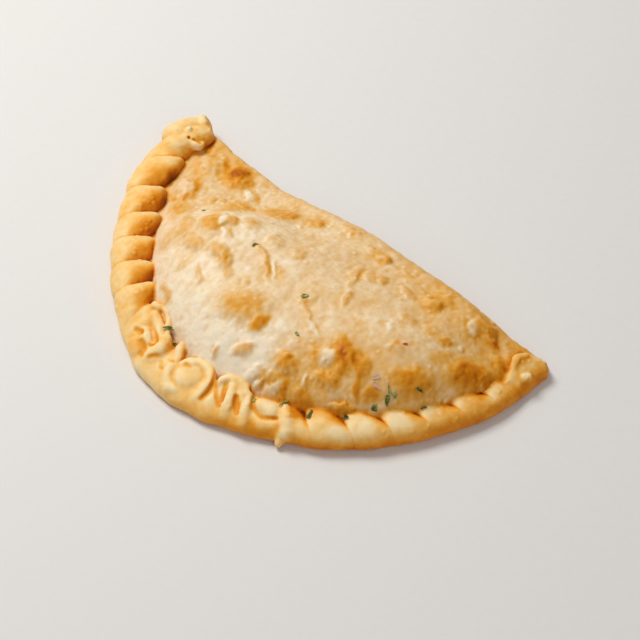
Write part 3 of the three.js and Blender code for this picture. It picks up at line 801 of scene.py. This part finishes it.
# Where bubbles crowd on the top: place, size of the crowd and how thick it is
CROWDS = [
    (-55, -20, 22, 0.3), (-28, -14, 16, 0.24), (36, -72, 13, 0.34), (25, -78, 9, 0.27),
    (70, -14, 16, 0.3), (40, -8, 14, 0.27), (0, -5, 16, 0.24), (-30, -44, 9, 0.2),
    (62, -48, 14, 0.17), (-8, -58, 14, 0.17), (-74, -45, 3.5, 1), (-66, -57, 3.5, 1),
    (-62, -66, 3.5, 1), (75, -45, 5, 0.7), (84, -27, 5, 0.7), (86, -10, 5, 0.7),
]


# The larger bubbles on the crimp: distance along, distance out and radius. Their heights are
# found from above its top.
CRIMP_TOP = 11
CRIMP_BUBBLES = [
    (50.3, -5.6, 1.1), (52.4, -7.4, 1.0), (53, -4.9, 0.9), (55, -2.6, 1.0), (62.6, -8, 1.1),
    (65.4, -7.6, 0.9), (67.6, -8.2, 1.2), (69, -6.2, 1.0), (71.6, -4.4, 1.1), (74.4, -1, 0.9),
    (79.3, -4.5, 0.9), (81.5, -4.6, 1.1), (83, -6.6, 1.3), (86, -8.5, 1.0), (102.3, -3.7, 1.2),
    (102, -6.5, 0.9), (250.9, 2.3, 1.0), (250, 7.4, 0.9), (240.2, 6.2, 1.0), (269.2, 2.3, 1.1),
    (282.9, -2.5, 1.2), (286.7, -0.1, 0.9), (290.7, 2.3, 0.8), (280.3, 7.2, 0.8), (224, 4.6, 0.9),
]


# Small bubbles: places tried, how many stay on the crimp and on the top where no crowd is, the
# smallest and largest usual radius, how much larger the odd one is, the largest of all, and the
# rise as a share of the radius
BUBBLE_TRIES = 5000
STRAY_BUBBLES = (0.07, 0.02)
BUBBLE_RADIUS = (0.5, 0.9)
ODD_BUBBLE = 0.2
LARGEST_BUBBLE = 1.8
BUBBLE_RISE = (0.1, 0.26)
CRIMP_BUBBLE_RISE = 0.3


def bubbles(skin):
    """Height of small bubbles of hot fat scattered over the skin, more in some places."""
    draw = np.random.default_rng(SEED)
    tree = KDTree(len(skin.vertices))
    for index, vertex in enumerate(skin.vertices):
        tree.insert(vertex, index)
    tree.balance()
    picks = draw.choice(len(skin.vertices), BUBBLE_TRIES, replace=False)
    centres = skin.vertices[picks]
    crowd = np.where(skin.on_crimp[picks] > 0.5, *STRAY_BUBBLES)
    for x, y, size, thick in CROWDS:
        away = np.hypot(centres[:, 0] - x, centres[:, 1] - y)
        crowd = np.maximum(crowd, thick * np.exp(-(away / size) ** 2))
    centres = centres[draw.uniform(0, 1, BUBBLE_TRIES) < crowd]
    radii = [draw.uniform(*BUBBLE_RADIUS) + draw.exponential(ODD_BUBBLE) for _ in centres]
    radii = np.minimum(radii, LARGEST_BUBBLE)
    found = [(centre, radius, draw.uniform(*BUBBLE_RISE)) for centre, radius in zip(centres, radii)]
    for along, out, radius in CRIMP_BUBBLES:
        centre = tree.find(crimp_frame(along, out, CRIMP_TOP)[0])[0]
        found.append((centre, radius, CRIMP_BUBBLE_RISE))
    height = np.zeros(len(skin.vertices))
    for centre, radius, share in found:
        rise = share * radius
        for _, index, away in tree.find_range(centre, radius):
            height[index] = max(height[index], rise * (1 - (away / radius) ** 2) ** 1.3)
    return height


# How deep a vertex lies under its neighbours where its easing starts and where it is full, and
# the share of the way up that it is then moved
EASED_DEPTH = (0.04, 0.12)
EASED_SHARE = 0.7


def ease_creases(skin):
    """Evens out the vertices at the bottom of creases, where the grid is coarse for them."""
    for _ in range(2):
        evened = skin.rounded(2)
        share = EASED_SHARE * smoothstep(*EASED_DEPTH, skin.under(evened))[:, None]
        skin.vertices = lerp(skin.vertices, evened.vertices, share)
    return skin


# Unevenness of the skin, in layers of noise: size, height and seed. The crimp has less of both,
# and some patches of the top, most of them at the front, have more of the small one.
BROAD_LUMPS = [(13, 0.4, 21), (6.5, 0.3, 22)]
SMALL_LUMPS = [(3.2, 0.15, 23), (1.6, 0.07, 24)]
CRIMP_BROAD = 0.55
CRIMP_SMALL = 0.9
PATCH_SIZE = 17
PATCH_SMALL = 0.4
PATCHES_AT_FRONT = 0.5

# The base lay flat while it fried, so it has pits only: their size and depth, and how deep its
# small lumps go in
BASE_PIT_SIZE = 7
BASE_PIT_DEPTH = 0.35
BASE_SMALL = 0.5


def add_relief(skin):
    """Unevenness of the fried skin, from broad lumps down to small bubbles and pores."""
    points = skin.vertices
    normals = skin.normals()
    on_dome = 1 - skin.on_crimp
    front = smoothstep(-50, -72, points[:, 1])
    patches = smoothstep(-0.1, 0.5, lumps(points, PATCH_SIZE, 26) + PATCHES_AT_FRONT * front)
    small = layered(points, SMALL_LUMPS)
    top = layered(points, BROAD_LUMPS) * lerp(CRIMP_BROAD, 1, on_dome)
    top = top + small * (lerp(CRIMP_SMALL, 1, on_dome) + PATCH_SMALL * on_dome * patches)
    top = top + bubbles(skin)
    pits = smoothstep(-0.1, 0.5, lumps(points, BASE_PIT_SIZE, 31))
    base = -BASE_PIT_DEPTH * pits - BASE_SMALL * np.maximum(small, 0)
    under = smoothstep(-0.5, -0.9, normals[:, 2])
    skin.vertices = points + lerp(top, base, under)[:, None] * normals
    return skin


# Painted shade: the side of every lump that faces this way, away from the key light, is painted
# browner
SHADED_SIDE = np.array([0.86, 0.42, -0.1])

# Broad tones of the top: place, reach and tone. The higher tones over the right half, which faced
# away from the key light, are partly painted shade.
TOP_TONES = [
    (-24, -70, 22, 0.04), (6, -77, 13, -0.1), (-38, -62, 16, 0.08), (-6, -51, 18, 0.12),
    (12, -54, 14, 0.2), (12, -32, 20, 0.2), (-17, -19, 14, 0.18), (31, -42, 16, 0.2),
    (50, -36, 14, 0.2), (42, -10, 10, 0.3), (69, -20, 12, 0.3), (33, -71, 9, 0.36),
    (65, -37, 12, 0.32), (53, -50, 12, 0.3), (-62, -27, 12, 0.28), (79, -14, 9, 0.42),
    (-48, -35, 14, 0.1), (-80, -18, 10, 0.34),
]

# Tone of the top away from all of these, and how little it counts beside them
USUAL_TONE = 0.3
USUAL_WEIGHT = 0.02


def top_tone(x, y):
    """Tone of the top apart from its marks: browned crust, and over the right half partly painted
    shade.
    """
    total, share = np.full_like(x, USUAL_WEIGHT * USUAL_TONE), np.full_like(x, USUAL_WEIGHT)
    for middle_x, middle_y, reach, tone in TOP_TONES:
        near_it = np.exp(-((x - middle_x) ** 2 + (y - middle_y) ** 2) / reach ** 2)
        total += near_it * tone
        share += near_it
    return total / share


# Where the crimp is paler or browner than the rest; the pale spots on the tops of the front petals,
# from 195 to 266 along, are painted highlights: distance along, distance out, reach, change
CRIMP_SPOTS_AND_HIGHLIGHTS = [
    (2, 1.5, 3.2, -0.22), (10.5, 0.3, 1.6, -0.25), (14, 4, 6, -0.06), (13.4, -7, 2.4, -0.08),
    (33, -6.5, 3.6, 0.12), (50, -6.5, 3.2, 0.1), (65, -7, 3, 0.1), (78.5, -7, 3, 0.1),
    (91.5, -6.5, 3, 0.08), (30, 2, 5, -0.03), (47, 2, 5, -0.03), (63, 2, 5, -0.03),
    (77, 2, 5, -0.03), (90, 2, 5, -0.02), (122.5, 3.4, 3.4, 0.22), (122.5, -0.8, 2.6, -0.1),
    (128, -4, 3, 0.12), (145.6, 5, 2.8, -0.12), (188.3, 5.2, 2.4, -0.45), (195.3, -1.4, 2.4, -0.16),
    (207.6, 0.9, 2.6, -0.28), (218.5, 0.2, 3.6, -0.28), (230.5, -1.2, 3.8, -0.28),
    (241, -0.8, 3, -0.2), (252.5, -0.8, 3, -0.24), (266, 2.2, 2.6, -0.24), (282, -1.5, 7, 0.06),
    (281.6, 2.2, 1.9, -0.3), (289, 0, 3.5, 0.04),
]

# Where the crimp's browning changes, as distances along it: where the rolls start, where the
# folds of the front start, the start and the end of the stretch before the flap and of the rolls'
# shallow creases, and where the low band starts, with the heights between which that fades in
ROLLS_START = (105, 140)
FRONT_START = (185, 200)
BEFORE_FLAP = ((222, 250), (280, 270))
ROLL_CREASES = ((108, 116), (196, 188))
LOW_BAND_START = (120, 190)
LOW_BAND_HEIGHTS = (9, 2.5)

# Browning of the crimp: of the even folds' tops, how much paler the rolls after them are, and how
# much browner the front, the dome's side of the front and the stretch before the flap are
EVEN_TONE = 0.24
ROLLS_PALER = 0.12
FRONT_BROWNER = 0.08
FRONT_INSIDE_BROWNER = 0.14
BEFORE_FLAP_BROWNER = 0.12

# Browning and painted shade on the flanks of folds that face away from the key light, on the left
# and at the front: its tone, the share of the fold where it starts and where it is full, and how
# far out across the rope it reaches. The start of each fold is painted browner too, as shade in the
# crease, as far as the share of it that lies in the crease.
FLANK_TONES = (0.3, 0.44)
FLANK_STARTS = (0.2, 0.45)
FLANK_IS_FULL = (0.75, 0.95)
FLANK_OUT_TO = (0.45, 1.1)
CREASE_SHARE = 0.07

# Painted shade on the crimp's side that faces away from the key light, the browned tone of its low
# band, and the noise in all of it: strength of the broad noise on the left and at the front, of the
# fine noise, and of the low band's
SHADED_SIDE_TONE = 0.34
LOW_BAND_TONE = 0.67
BROAD_MOTTLE = (0.1, 0.17)
FINE_MOTTLE = 0.07
LOW_BAND_MOTTLE = 0.1


def within(stretch, along):
    """1 in a stretch of the crimp and 0 away from it, eased between the two."""
    start, end = stretch
    return smoothstep(*start, along) * smoothstep(*end, along)


def crimp_tone(points, normals):
    """Browning of the crimp with painted light: pale tops with painted highlights on the front
    petals, golden flanks that are partly painted shade, and slots painted brown as shade.
    """
    x, y, z = points.T
    plan = Plan(x, y)
    across, _ = rope_place(z, plan)
    folded = smoothstep(0.8, 2, plan.depth)
    front = smoothstep(*FRONT_START, plan.along)
    tone = EVEN_TONE - ROLLS_PALER * smoothstep(*ROLLS_START, plan.along)
    tone = tone + lerp(*BROAD_MOTTLE, front) * lumps(points, 9, 43)
    tone = tone + FINE_MOTTLE * lumps(points, 3, 46)
    inside = smoothstep(0.1, -0.7, across)
    tone = tone + front * (FRONT_BROWNER + FRONT_INSIDE_BROWNER * inside)
    tone = tone + BEFORE_FLAP_BROWNER * within(BEFORE_FLAP, plan.along)
    # Each fold is browned and painted with shade from its middle to its end, and painted with shade
    # again in the crease where it starts
    starts, full = lerp(*FLANK_STARTS, front), lerp(*FLANK_IS_FULL, front)
    ended = smoothstep(starts, full, plan.fold_share)
    flank = np.maximum(ended, smoothstep(CREASE_SHARE, 0, plan.fold_share))
    flank = flank * smoothstep(lerp(*FLANK_OUT_TO, front), -0.3, across)
    tone = tone + lerp(*FLANK_TONES, front) * folded * flank
    # Painted shade on the side of the crimp that faces away from the key light
    tone = tone + SHADED_SIDE_TONE * smoothstep(0.2, 0.85, normals @ SHADED_SIDE)
    low = smoothstep(*LOW_BAND_HEIGHTS, z + lumps(points, 7, 47)) * smoothstep(0, 0.7, across)
    low = low * smoothstep(*LOW_BAND_START, plan.along)
    tone = lerp(tone, LOW_BAND_TONE + LOW_BAND_MOTTLE * lumps(points, 5, 49), low)
    # Spots of paler or browner tone, with painted highlights on the front petals
    for along, out, reach, change in CRIMP_SPOTS_AND_HIGHLIGHTS:
        away = (plan.along - along) ** 2 + (plan.out - out) ** 2
        tone = tone + change * np.exp(-away / reach ** 2)
    # Painted shade in the slots and hollows, partly the dough's own browned colour
    for (painted_shade, _), piece in zip(HOLLOWS.values(), hollow_pieces):
        picks = near(piece, points)
        share = smoothstep(0.9, -0.1, piece.distance(points[picks]))
        tone[picks] = lerp(tone[picks], np.maximum(tone[picks], painted_shade), share)
    return tone


# Noise in the browning: size, strength and seed of each layer, on the top and on the base
TOP_MOTTLE = [(12, 0.08, 41), (4, 0.06, 42)]
BASE_MOTTLE = [(16, 0.28, 44), (6, 0.2, 45)]
BASE_TONE = 0.5

# Browning of the top: how much browner it is along the fold, how much of it a mark covers, the
# noise in a mark's tone, and how much browner the sides of the top and of its lumps that face away
# from the key light are painted, as shade
FOLD_BROWNER = 0.12
MARK_COVER = 0.92
MARK_MOTTLE = 0.1
TOP_SIDE_SHADE = 0.12
LUMP_SIDE_SHADE = 0.45

# Painted shade for each millimetre of a wide hollow's depth, and the share of the painted shade of
# creases and hollows that is left in the rolls
HOLLOW_SHADE = 0.15
ROLL_CREASE_SHADE = 0.75

# How far the skin is rounded to find its lumps and, less far, its creases
LUMP_ROUNDING = 44
CREASE_ROUNDING = 6


def browning_and_painted_light_of(skin):
    """How brown the crust is painted, from 0 where it is pale to 1 where it is brown: its browned
    crust together with painted shade and painted highlights.
    """
    points = skin.vertices
    x, y, _ = points.T
    along, _ = crimp_place(x, y)
    normals = skin.normals()
    tone = top_tone(x, y) + layered(points, TOP_MOTTLE)
    tone = tone + FOLD_BROWNER * smoothstep(-10, -4, y)
    # Marks: blisters, ridges and stains, with painted highlights on the palest and a painted shadow
    # beside the knot
    for _, mark_tone, picks, share in marks_near(x, y):
        spot = mark_tone + MARK_MOTTLE * lumps(points[picks], 3, 48)
        tone[picks] = lerp(tone[picks], spot, MARK_COVER * share)
    # Painted shade on the sides of the top and of its lumps that face away from the key light
    tone = tone + TOP_SIDE_SHADE * smoothstep(0.25, 0.8, normals @ SHADED_SIDE)
    rounded = skin.rounded(LUMP_ROUNDING)
    lump_shaded_side = np.clip((normals - rounded.normals()) @ SHADED_SIDE, -0.15, 0.4)
    tone = tone + LUMP_SIDE_SHADE * lump_shaded_side
    tone = lerp(tone, crimp_tone(points, normals), skin.on_crimp)
    # Painted shade: creases and hollows are painted browner than what stands above them, a little
    # less in the rolls
    fine, wide = skin.under(skin.rounded(CREASE_ROUNDING)), skin.under(rounded)
    painted_shade = np.clip(fine, -0.04, 0.3) + HOLLOW_SHADE * np.clip(wide, -0.5, 1.2)
    in_rolls = skin.on_crimp * within(ROLL_CREASES, along)
    tone = tone + lerp(1, ROLL_CREASE_SHADE, in_rolls) * painted_shade
    base = BASE_TONE + layered(points, BASE_MOTTLE)
    return lerp(tone, base, smoothstep(-0.3, -0.8, normals[:, 2]))


def add_object(name, data):
    added = bpy.data.objects.new(name, data)
    bpy.context.scene.collection.objects.link(added)
    return added


def add_mesh(name, vertices, faces, finish, **attributes):
    """A mesh with its finish, and the values at its vertices that the finish reads."""
    mesh = bpy.data.meshes.new(name)
    mesh.from_pydata(vertices, [], faces)
    for attribute, values in attributes.items():
        mesh.attributes.new(attribute, "FLOAT", "POINT").data.foreach_set("value", values)
    mesh.materials.append(finish)
    return add_object(name, mesh)


# Nothing comes nearer to the sides of the CAD box than this, in millimetres
BOX_MARGIN = 0.01


def dough_object():
    """The dough as a mesh in the part's frame, kept inside the box of its solid."""
    skin = add_relief(ease_creases(Skin(*sculpted_dough())))
    low, high = [np.array(corner) / MM for corner in cad_box]
    placed = np.clip(skin.vertices - PART_CENTRE, low + BOX_MARGIN, high - BOX_MARGIN) * MM
    values = {"browning": browning_and_painted_light_of(skin), "crimp": skin.on_crimp}
    quads = skin.quads.tolist()
    made = add_mesh("fried_dough", placed.tolist(), quads, dough_finish(), **values)
    made.data.shade_smooth()
    return made


# A scrap of leaf: corners round it, its thickness, and how high its top is in the middle
LEAF_SIDES = 14
LEAF_THICKNESS = 0.2
LEAF_TOP = 0.25


def leaf_scrap(length, width, heading, draw):
    """A torn, curled scrap of leaf about its own middle: vertices and faces."""
    fold = draw.uniform(0.1, 0.5)
    curl = draw.uniform(-0.6, 0.5)
    lobes = draw.uniform(0, 2 * math.pi)
    flat = [(0, 0)]
    for share in (0.5, 1.0):
        for side in range(LEAF_SIDES):
            turn = 2 * math.pi * side / LEAF_SIDES
            torn = 0.2 * math.sin(3 * turn + lobes) + draw.uniform(-0.24, 0.14)
            reach = 0.5 * share * (1 + share * torn)
            flat.append((length * reach * math.cos(turn), width * reach * math.sin(turn)))
    flat = np.array(flat)
    height = LEAF_TOP + fold * np.abs(flat[:, 1]) + curl * flat[:, 0] ** 2 / length
    height = height + draw.uniform(-0.08, 0.08, len(flat))
    turn = math.radians(heading)
    spun = flat @ np.array([[math.cos(turn), math.sin(turn)], [-math.sin(turn), math.cos(turn)]])
    top = np.column_stack([spun, height])
    bottom = np.column_stack([spun, height - LEAF_THICKNESS])
    count = len(flat)
    faces = []
    for side in range(LEAF_SIDES):
        after = (side + 1) % LEAF_SIDES
        inner, inner_after = 1 + side, 1 + after
        outer, outer_after = inner + LEAF_SIDES, inner_after + LEAF_SIDES
        faces.append((0, inner, inner_after))
        faces.append((inner, outer, outer_after, inner_after))
        faces.append((count, count + inner_after, count + inner))
        faces.append((count + inner, count + inner_after, count + outer_after, count + outer))
        faces.append((outer, count + outer, count + outer_after, outer_after))
    return np.concatenate([top, bottom]), faces


# Height from which the flakes come down on the dough
FLAKES_FALL_FROM = 60


def herb_object(dough):
    """All the flakes of dried herb that lie on the dough, as one piece."""
    draw = np.random.default_rng(SEED + 1)
    tree = BVHTree.FromObject(dough, bpy.context.evaluated_depsgraph_get())
    up = Vector((0, 0, 1))
    vertices, faces, hues = [], [], []
    for x, y, length, width, heading, hue in FLAKES:
        above = (np.array([x, y, FLAKES_FALL_FROM]) - PART_CENTRE) * MM
        hit, normal, _, _ = tree.ray_cast(Vector(above), -up)
        scrap, scrap_faces = leaf_scrap(length, width, heading, draw)
        tilted = (scrap * MM) @ np.array(up.rotation_difference(normal).to_matrix()).T
        placed = np.array(hit) + tilted
        placed[:, 2] = np.minimum(placed[:, 2], cad_box[1][2] - BOX_MARGIN * MM)
        faces += [tuple(corner + len(vertices) for corner in face) for face in scrap_faces]
        vertices += placed.tolist()
        hues += [hue] * len(placed)
    return add_mesh("herb_flakes", vertices, faces, herb_finish(), hue=hues)


class Value:
    """A shader socket that Python's operators add Math nodes to."""

    def __init__(self, finish, socket):
        self.finish = finish
        self.socket = socket

    def math(self, operation, first, second):
        node = self.finish.node("ShaderNodeMath", {"operation": operation}, {0: first, 1: second})
        return node["Value"]

    def __add__(self, other):
        return self.math("ADD", self, other)

    def __radd__(self, other):
        return self.math("ADD", other, self)

    def __sub__(self, other):
        return self.math("SUBTRACT", self, other)

    def __rsub__(self, other):
        return self.math("SUBTRACT", other, self)

    def __mul__(self, other):
        return self.math("MULTIPLY", self, other)

    def __rmul__(self, other):
        return self.math("MULTIPLY", other, self)


def srgb(red, green, blue):
    """Linear colour of a screen colour from 0 to 255."""
    channels = [value / 255 for value in (red, green, blue)]
    return (*[c / 12.92 if c <= 0.04045 else ((c + 0.055) / 1.055) ** 2.4 for c in channels], 1)


class Finish:
    """A material of procedural nodes, laid out in the object's own space."""

    def __init__(self, name):
        self.material = bpy.data.materials.new(name)
        self.material.use_nodes = True
        self.tree = self.material.node_tree
        self.surface = self.tree.nodes["Principled BSDF"]
        self.place = self.node("ShaderNodeTexCoord")["Object"]

    def fill(self, node, inputs):
        for name, value in inputs.items():
            if isinstance(value, Value):
                self.tree.links.new(value.socket, node.inputs[name])
            else:
                node.inputs[name].default_value = value

    def node(self, kind, settings=None, inputs=None):
        """Adds a node and gives its outputs by name. A ramp's settings are its stops."""
        node = self.tree.nodes.new(kind)
        for name, value in (settings or {}).items():
            if name == "stops":
                elements = node.color_ramp.elements
                while len(elements) < len(value):
                    elements.new(1)
                for element, (position, colour) in zip(elements, value):
                    element.position = position
                    element.color = colour
            else:
                setattr(node, name, value)
        self.fill(node, inputs or {})
        return {output.name: Value(self, output) for output in node.outputs if output.enabled}

    def noise(self, size, detail, **more):
        """Noise from 0 to 1 with lumps of a size in millimetres."""
        inputs = {"Vector": self.place, "Scale": 1 / (size * MM), "Detail": detail, **more}
        return self.node("ShaderNodeTexNoise", {}, inputs)["Fac"]

    def attribute(self, name):
        return self.node("ShaderNodeAttribute", {"attribute_name": name})["Fac"]

    def mix(self, share, first, second):
        settings = {"data_type": "RGBA", "clamp_factor": True}
        node = self.node("ShaderNodeMix", settings, {0: share, 6: first, 7: second})
        return node["Result"]

    def ramp(self, share, colours):
        """A colour from a ramp of places and screen colours."""
        stops = [(position, srgb(*colour)) for position, *colour in colours]
        return self.node("ShaderNodeValToRGB", {"stops": stops}, {"Fac": share})["Color"]

    def bump(self, height, distance, strength):
        inputs = {"Height": height, "Distance": distance * MM, "Strength": strength}
        return self.node("ShaderNodeBump", {}, inputs)["Normal"]


# Colours of the crust from pale to brown, on the top and on the crimp
TOP_CRUST = [
    (0.0, 250, 232, 204), (0.12, 242, 214, 172), (0.25, 234, 194, 136), (0.4, 231, 172, 80),
    (0.55, 222, 146, 30), (0.7, 206, 118, 4), (0.85, 172, 84, 0), (1.0, 110, 46, 4),
]
CRIMP_CRUST = [
    (0.0, 255, 226, 174), (0.14, 252, 212, 146), (0.28, 247, 192, 104), (0.44, 238, 162, 50),
    (0.6, 222, 132, 14), (0.75, 194, 98, 3), (0.88, 152, 66, 2), (1.0, 98, 38, 4),
]


def dough_finish():
    """Fried crust: satin with a little oil, mottled finer than the mesh can hold."""
    finish = Finish("fried_dough")
    patches = finish.noise(4.5, detail=3)
    mottle = finish.noise(1.6, detail=3)
    specks = finish.noise(0.55, detail=2)
    grain = finish.noise(0.9, detail=4, Roughness=0.6)
    tone = finish.attribute("browning")
    tone = tone + (patches - 0.5) * 0.09 + (mottle - 0.5) * 0.08 + (specks - 0.5) * 0.07
    top, crimp = finish.ramp(tone, TOP_CRUST), finish.ramp(tone, CRIMP_CRUST)
    finish.fill(
        finish.surface,
        {
            "Base Color": finish.mix(finish.attribute("crimp"), top, crimp),
            "Roughness": 0.34 + 0.2 * mottle,
            "Normal": finish.bump(grain, distance=0.3, strength=0.35),
            "Subsurface Weight": 0.25,
            "Subsurface Radius": (1.0, 0.55, 0.2),
            "Subsurface Scale": 1.8 * MM,
            "Specular IOR Level": 0.2,
            "Specular Tint": srgb(255, 232, 196),
        },
    )
    return finish.material


# Colours of a dried leaf from its dark folds to its dry edges, and of the other scraps by hue
LEAF_GREENS = [(0.36, 44, 50, 10), (0.46, 92, 100, 26), (0.54, 134, 138, 54), (0.66, 184, 184, 120)]
SCRAP_HUES = [(0, 96, 110, 48), (0.5, 224, 178, 152), (1, 204, 74, 18)]


def herb_finish():
    """Dried leaf, dull and veined, with the odd pale or red scrap."""
    finish = Finish("dried_herb")
    veins = finish.noise(0.7, detail=3)
    patches = finish.noise(5, detail=1)
    hue = finish.attribute("hue")
    green = finish.ramp(patches * 0.5 + veins * 0.5, LEAF_GREENS)
    finish.fill(
        finish.surface,
        {
            "Base Color": finish.mix(hue * 2, green, finish.ramp(hue, SCRAP_HUES)),
            "Roughness": 0.6 + 0.2 * veins,
            "Normal": finish.bump(veins, distance=0.2, strength=1),
        },
    )
    return finish.material


def floor_finish():
    finish = Finish("floor_paint")
    grain = finish.noise(3, detail=2)
    colour = finish.mix(grain, srgb(226, 224, 221), srgb(230, 228, 225))
    finish.fill(finish.surface, {"Base Color": colour, "Roughness": 0.6 + 0.1 * grain})
    return finish.material


# Half a side of the floor, in metres
FLOOR_HALF = 1.5


def lay_floor():
    sides = ((-1, -1), (1, -1), (1, 1), (-1, 1))
    corners = [(FLOOR_HALF * x, FLOOR_HALF * y, 0) for x, y in sides]
    add_mesh("floor", corners, [(0, 1, 2, 3)], floor_finish())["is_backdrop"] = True


def stand_off(thing, azimuth, elevation, distance, target=Vector()):
    """Stands a lamp or the camera off from a target and turns it to face that. Azimuth 0 is in
    front of the crimped arc and 90 past the flat tip."""
    turn, rise = math.radians(azimuth), math.radians(elevation)
    back = Vector(
        (math.sin(turn) * math.cos(rise), -math.cos(turn) * math.cos(rise), math.sin(rise))
    )
    thing.location = target + distance * back
    thing.rotation_euler = back.to_track_quat("Z", "Y").to_euler()


def soft_light(name, azimuth, elevation, distance, size, power):
    lamp = add_object(name, bpy.data.lights.new(name, "AREA"))
    lamp.data.size = size
    lamp.data.energy = power
    lamp.data.color = (1, 0.98, 0.95)
    stand_off(lamp, azimuth, elevation, distance)


def light_studio():
    scene = bpy.context.scene
    world = bpy.data.worlds.new("studio")
    world.use_nodes = True
    world.node_tree.nodes["Background"].inputs["Color"].default_value = (1, 1, 1, 1)
    world.node_tree.nodes["Background"].inputs["Strength"].default_value = 0.3
    scene.world = world
    scene.view_settings.view_transform = "Standard"
    soft_light("key", azimuth=-95, elevation=54, distance=1.1, size=0.45, power=9.0)
    soft_light("fill", azimuth=60, elevation=35, distance=1.3, size=0.9, power=2.4)


# The camera stands as it did to the turnover, brought level with the part's frame
CAMERA_TARGET = Vector((21.57, 6.73, 10)) * MM
CAMERA_AZIMUTH = 43.43
CAMERA_ELEVATION = 50.63
CAMERA_DISTANCE = 592.55 * MM


def set_camera():
    camera = add_object("camera", bpy.data.cameras.new("camera"))
    camera.data.lens = 90
    camera.data.sensor_width = 36
    stand_off(camera, CAMERA_AZIMUTH, CAMERA_ELEVATION, CAMERA_DISTANCE, CAMERA_TARGET)
    bpy.context.scene.camera = camera


set_camera()
light_studio()
lay_floor()
dough = dough_object()
herb = herb_object(dough)
for piece in (dough, herb):
    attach(piece, "root")
    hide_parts("empanada")

visual_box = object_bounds()
boxes = {"cad": cad_box, "visual": visual_box}
{name: [list(corner) for corner in box] for name, box in boxes.items()}
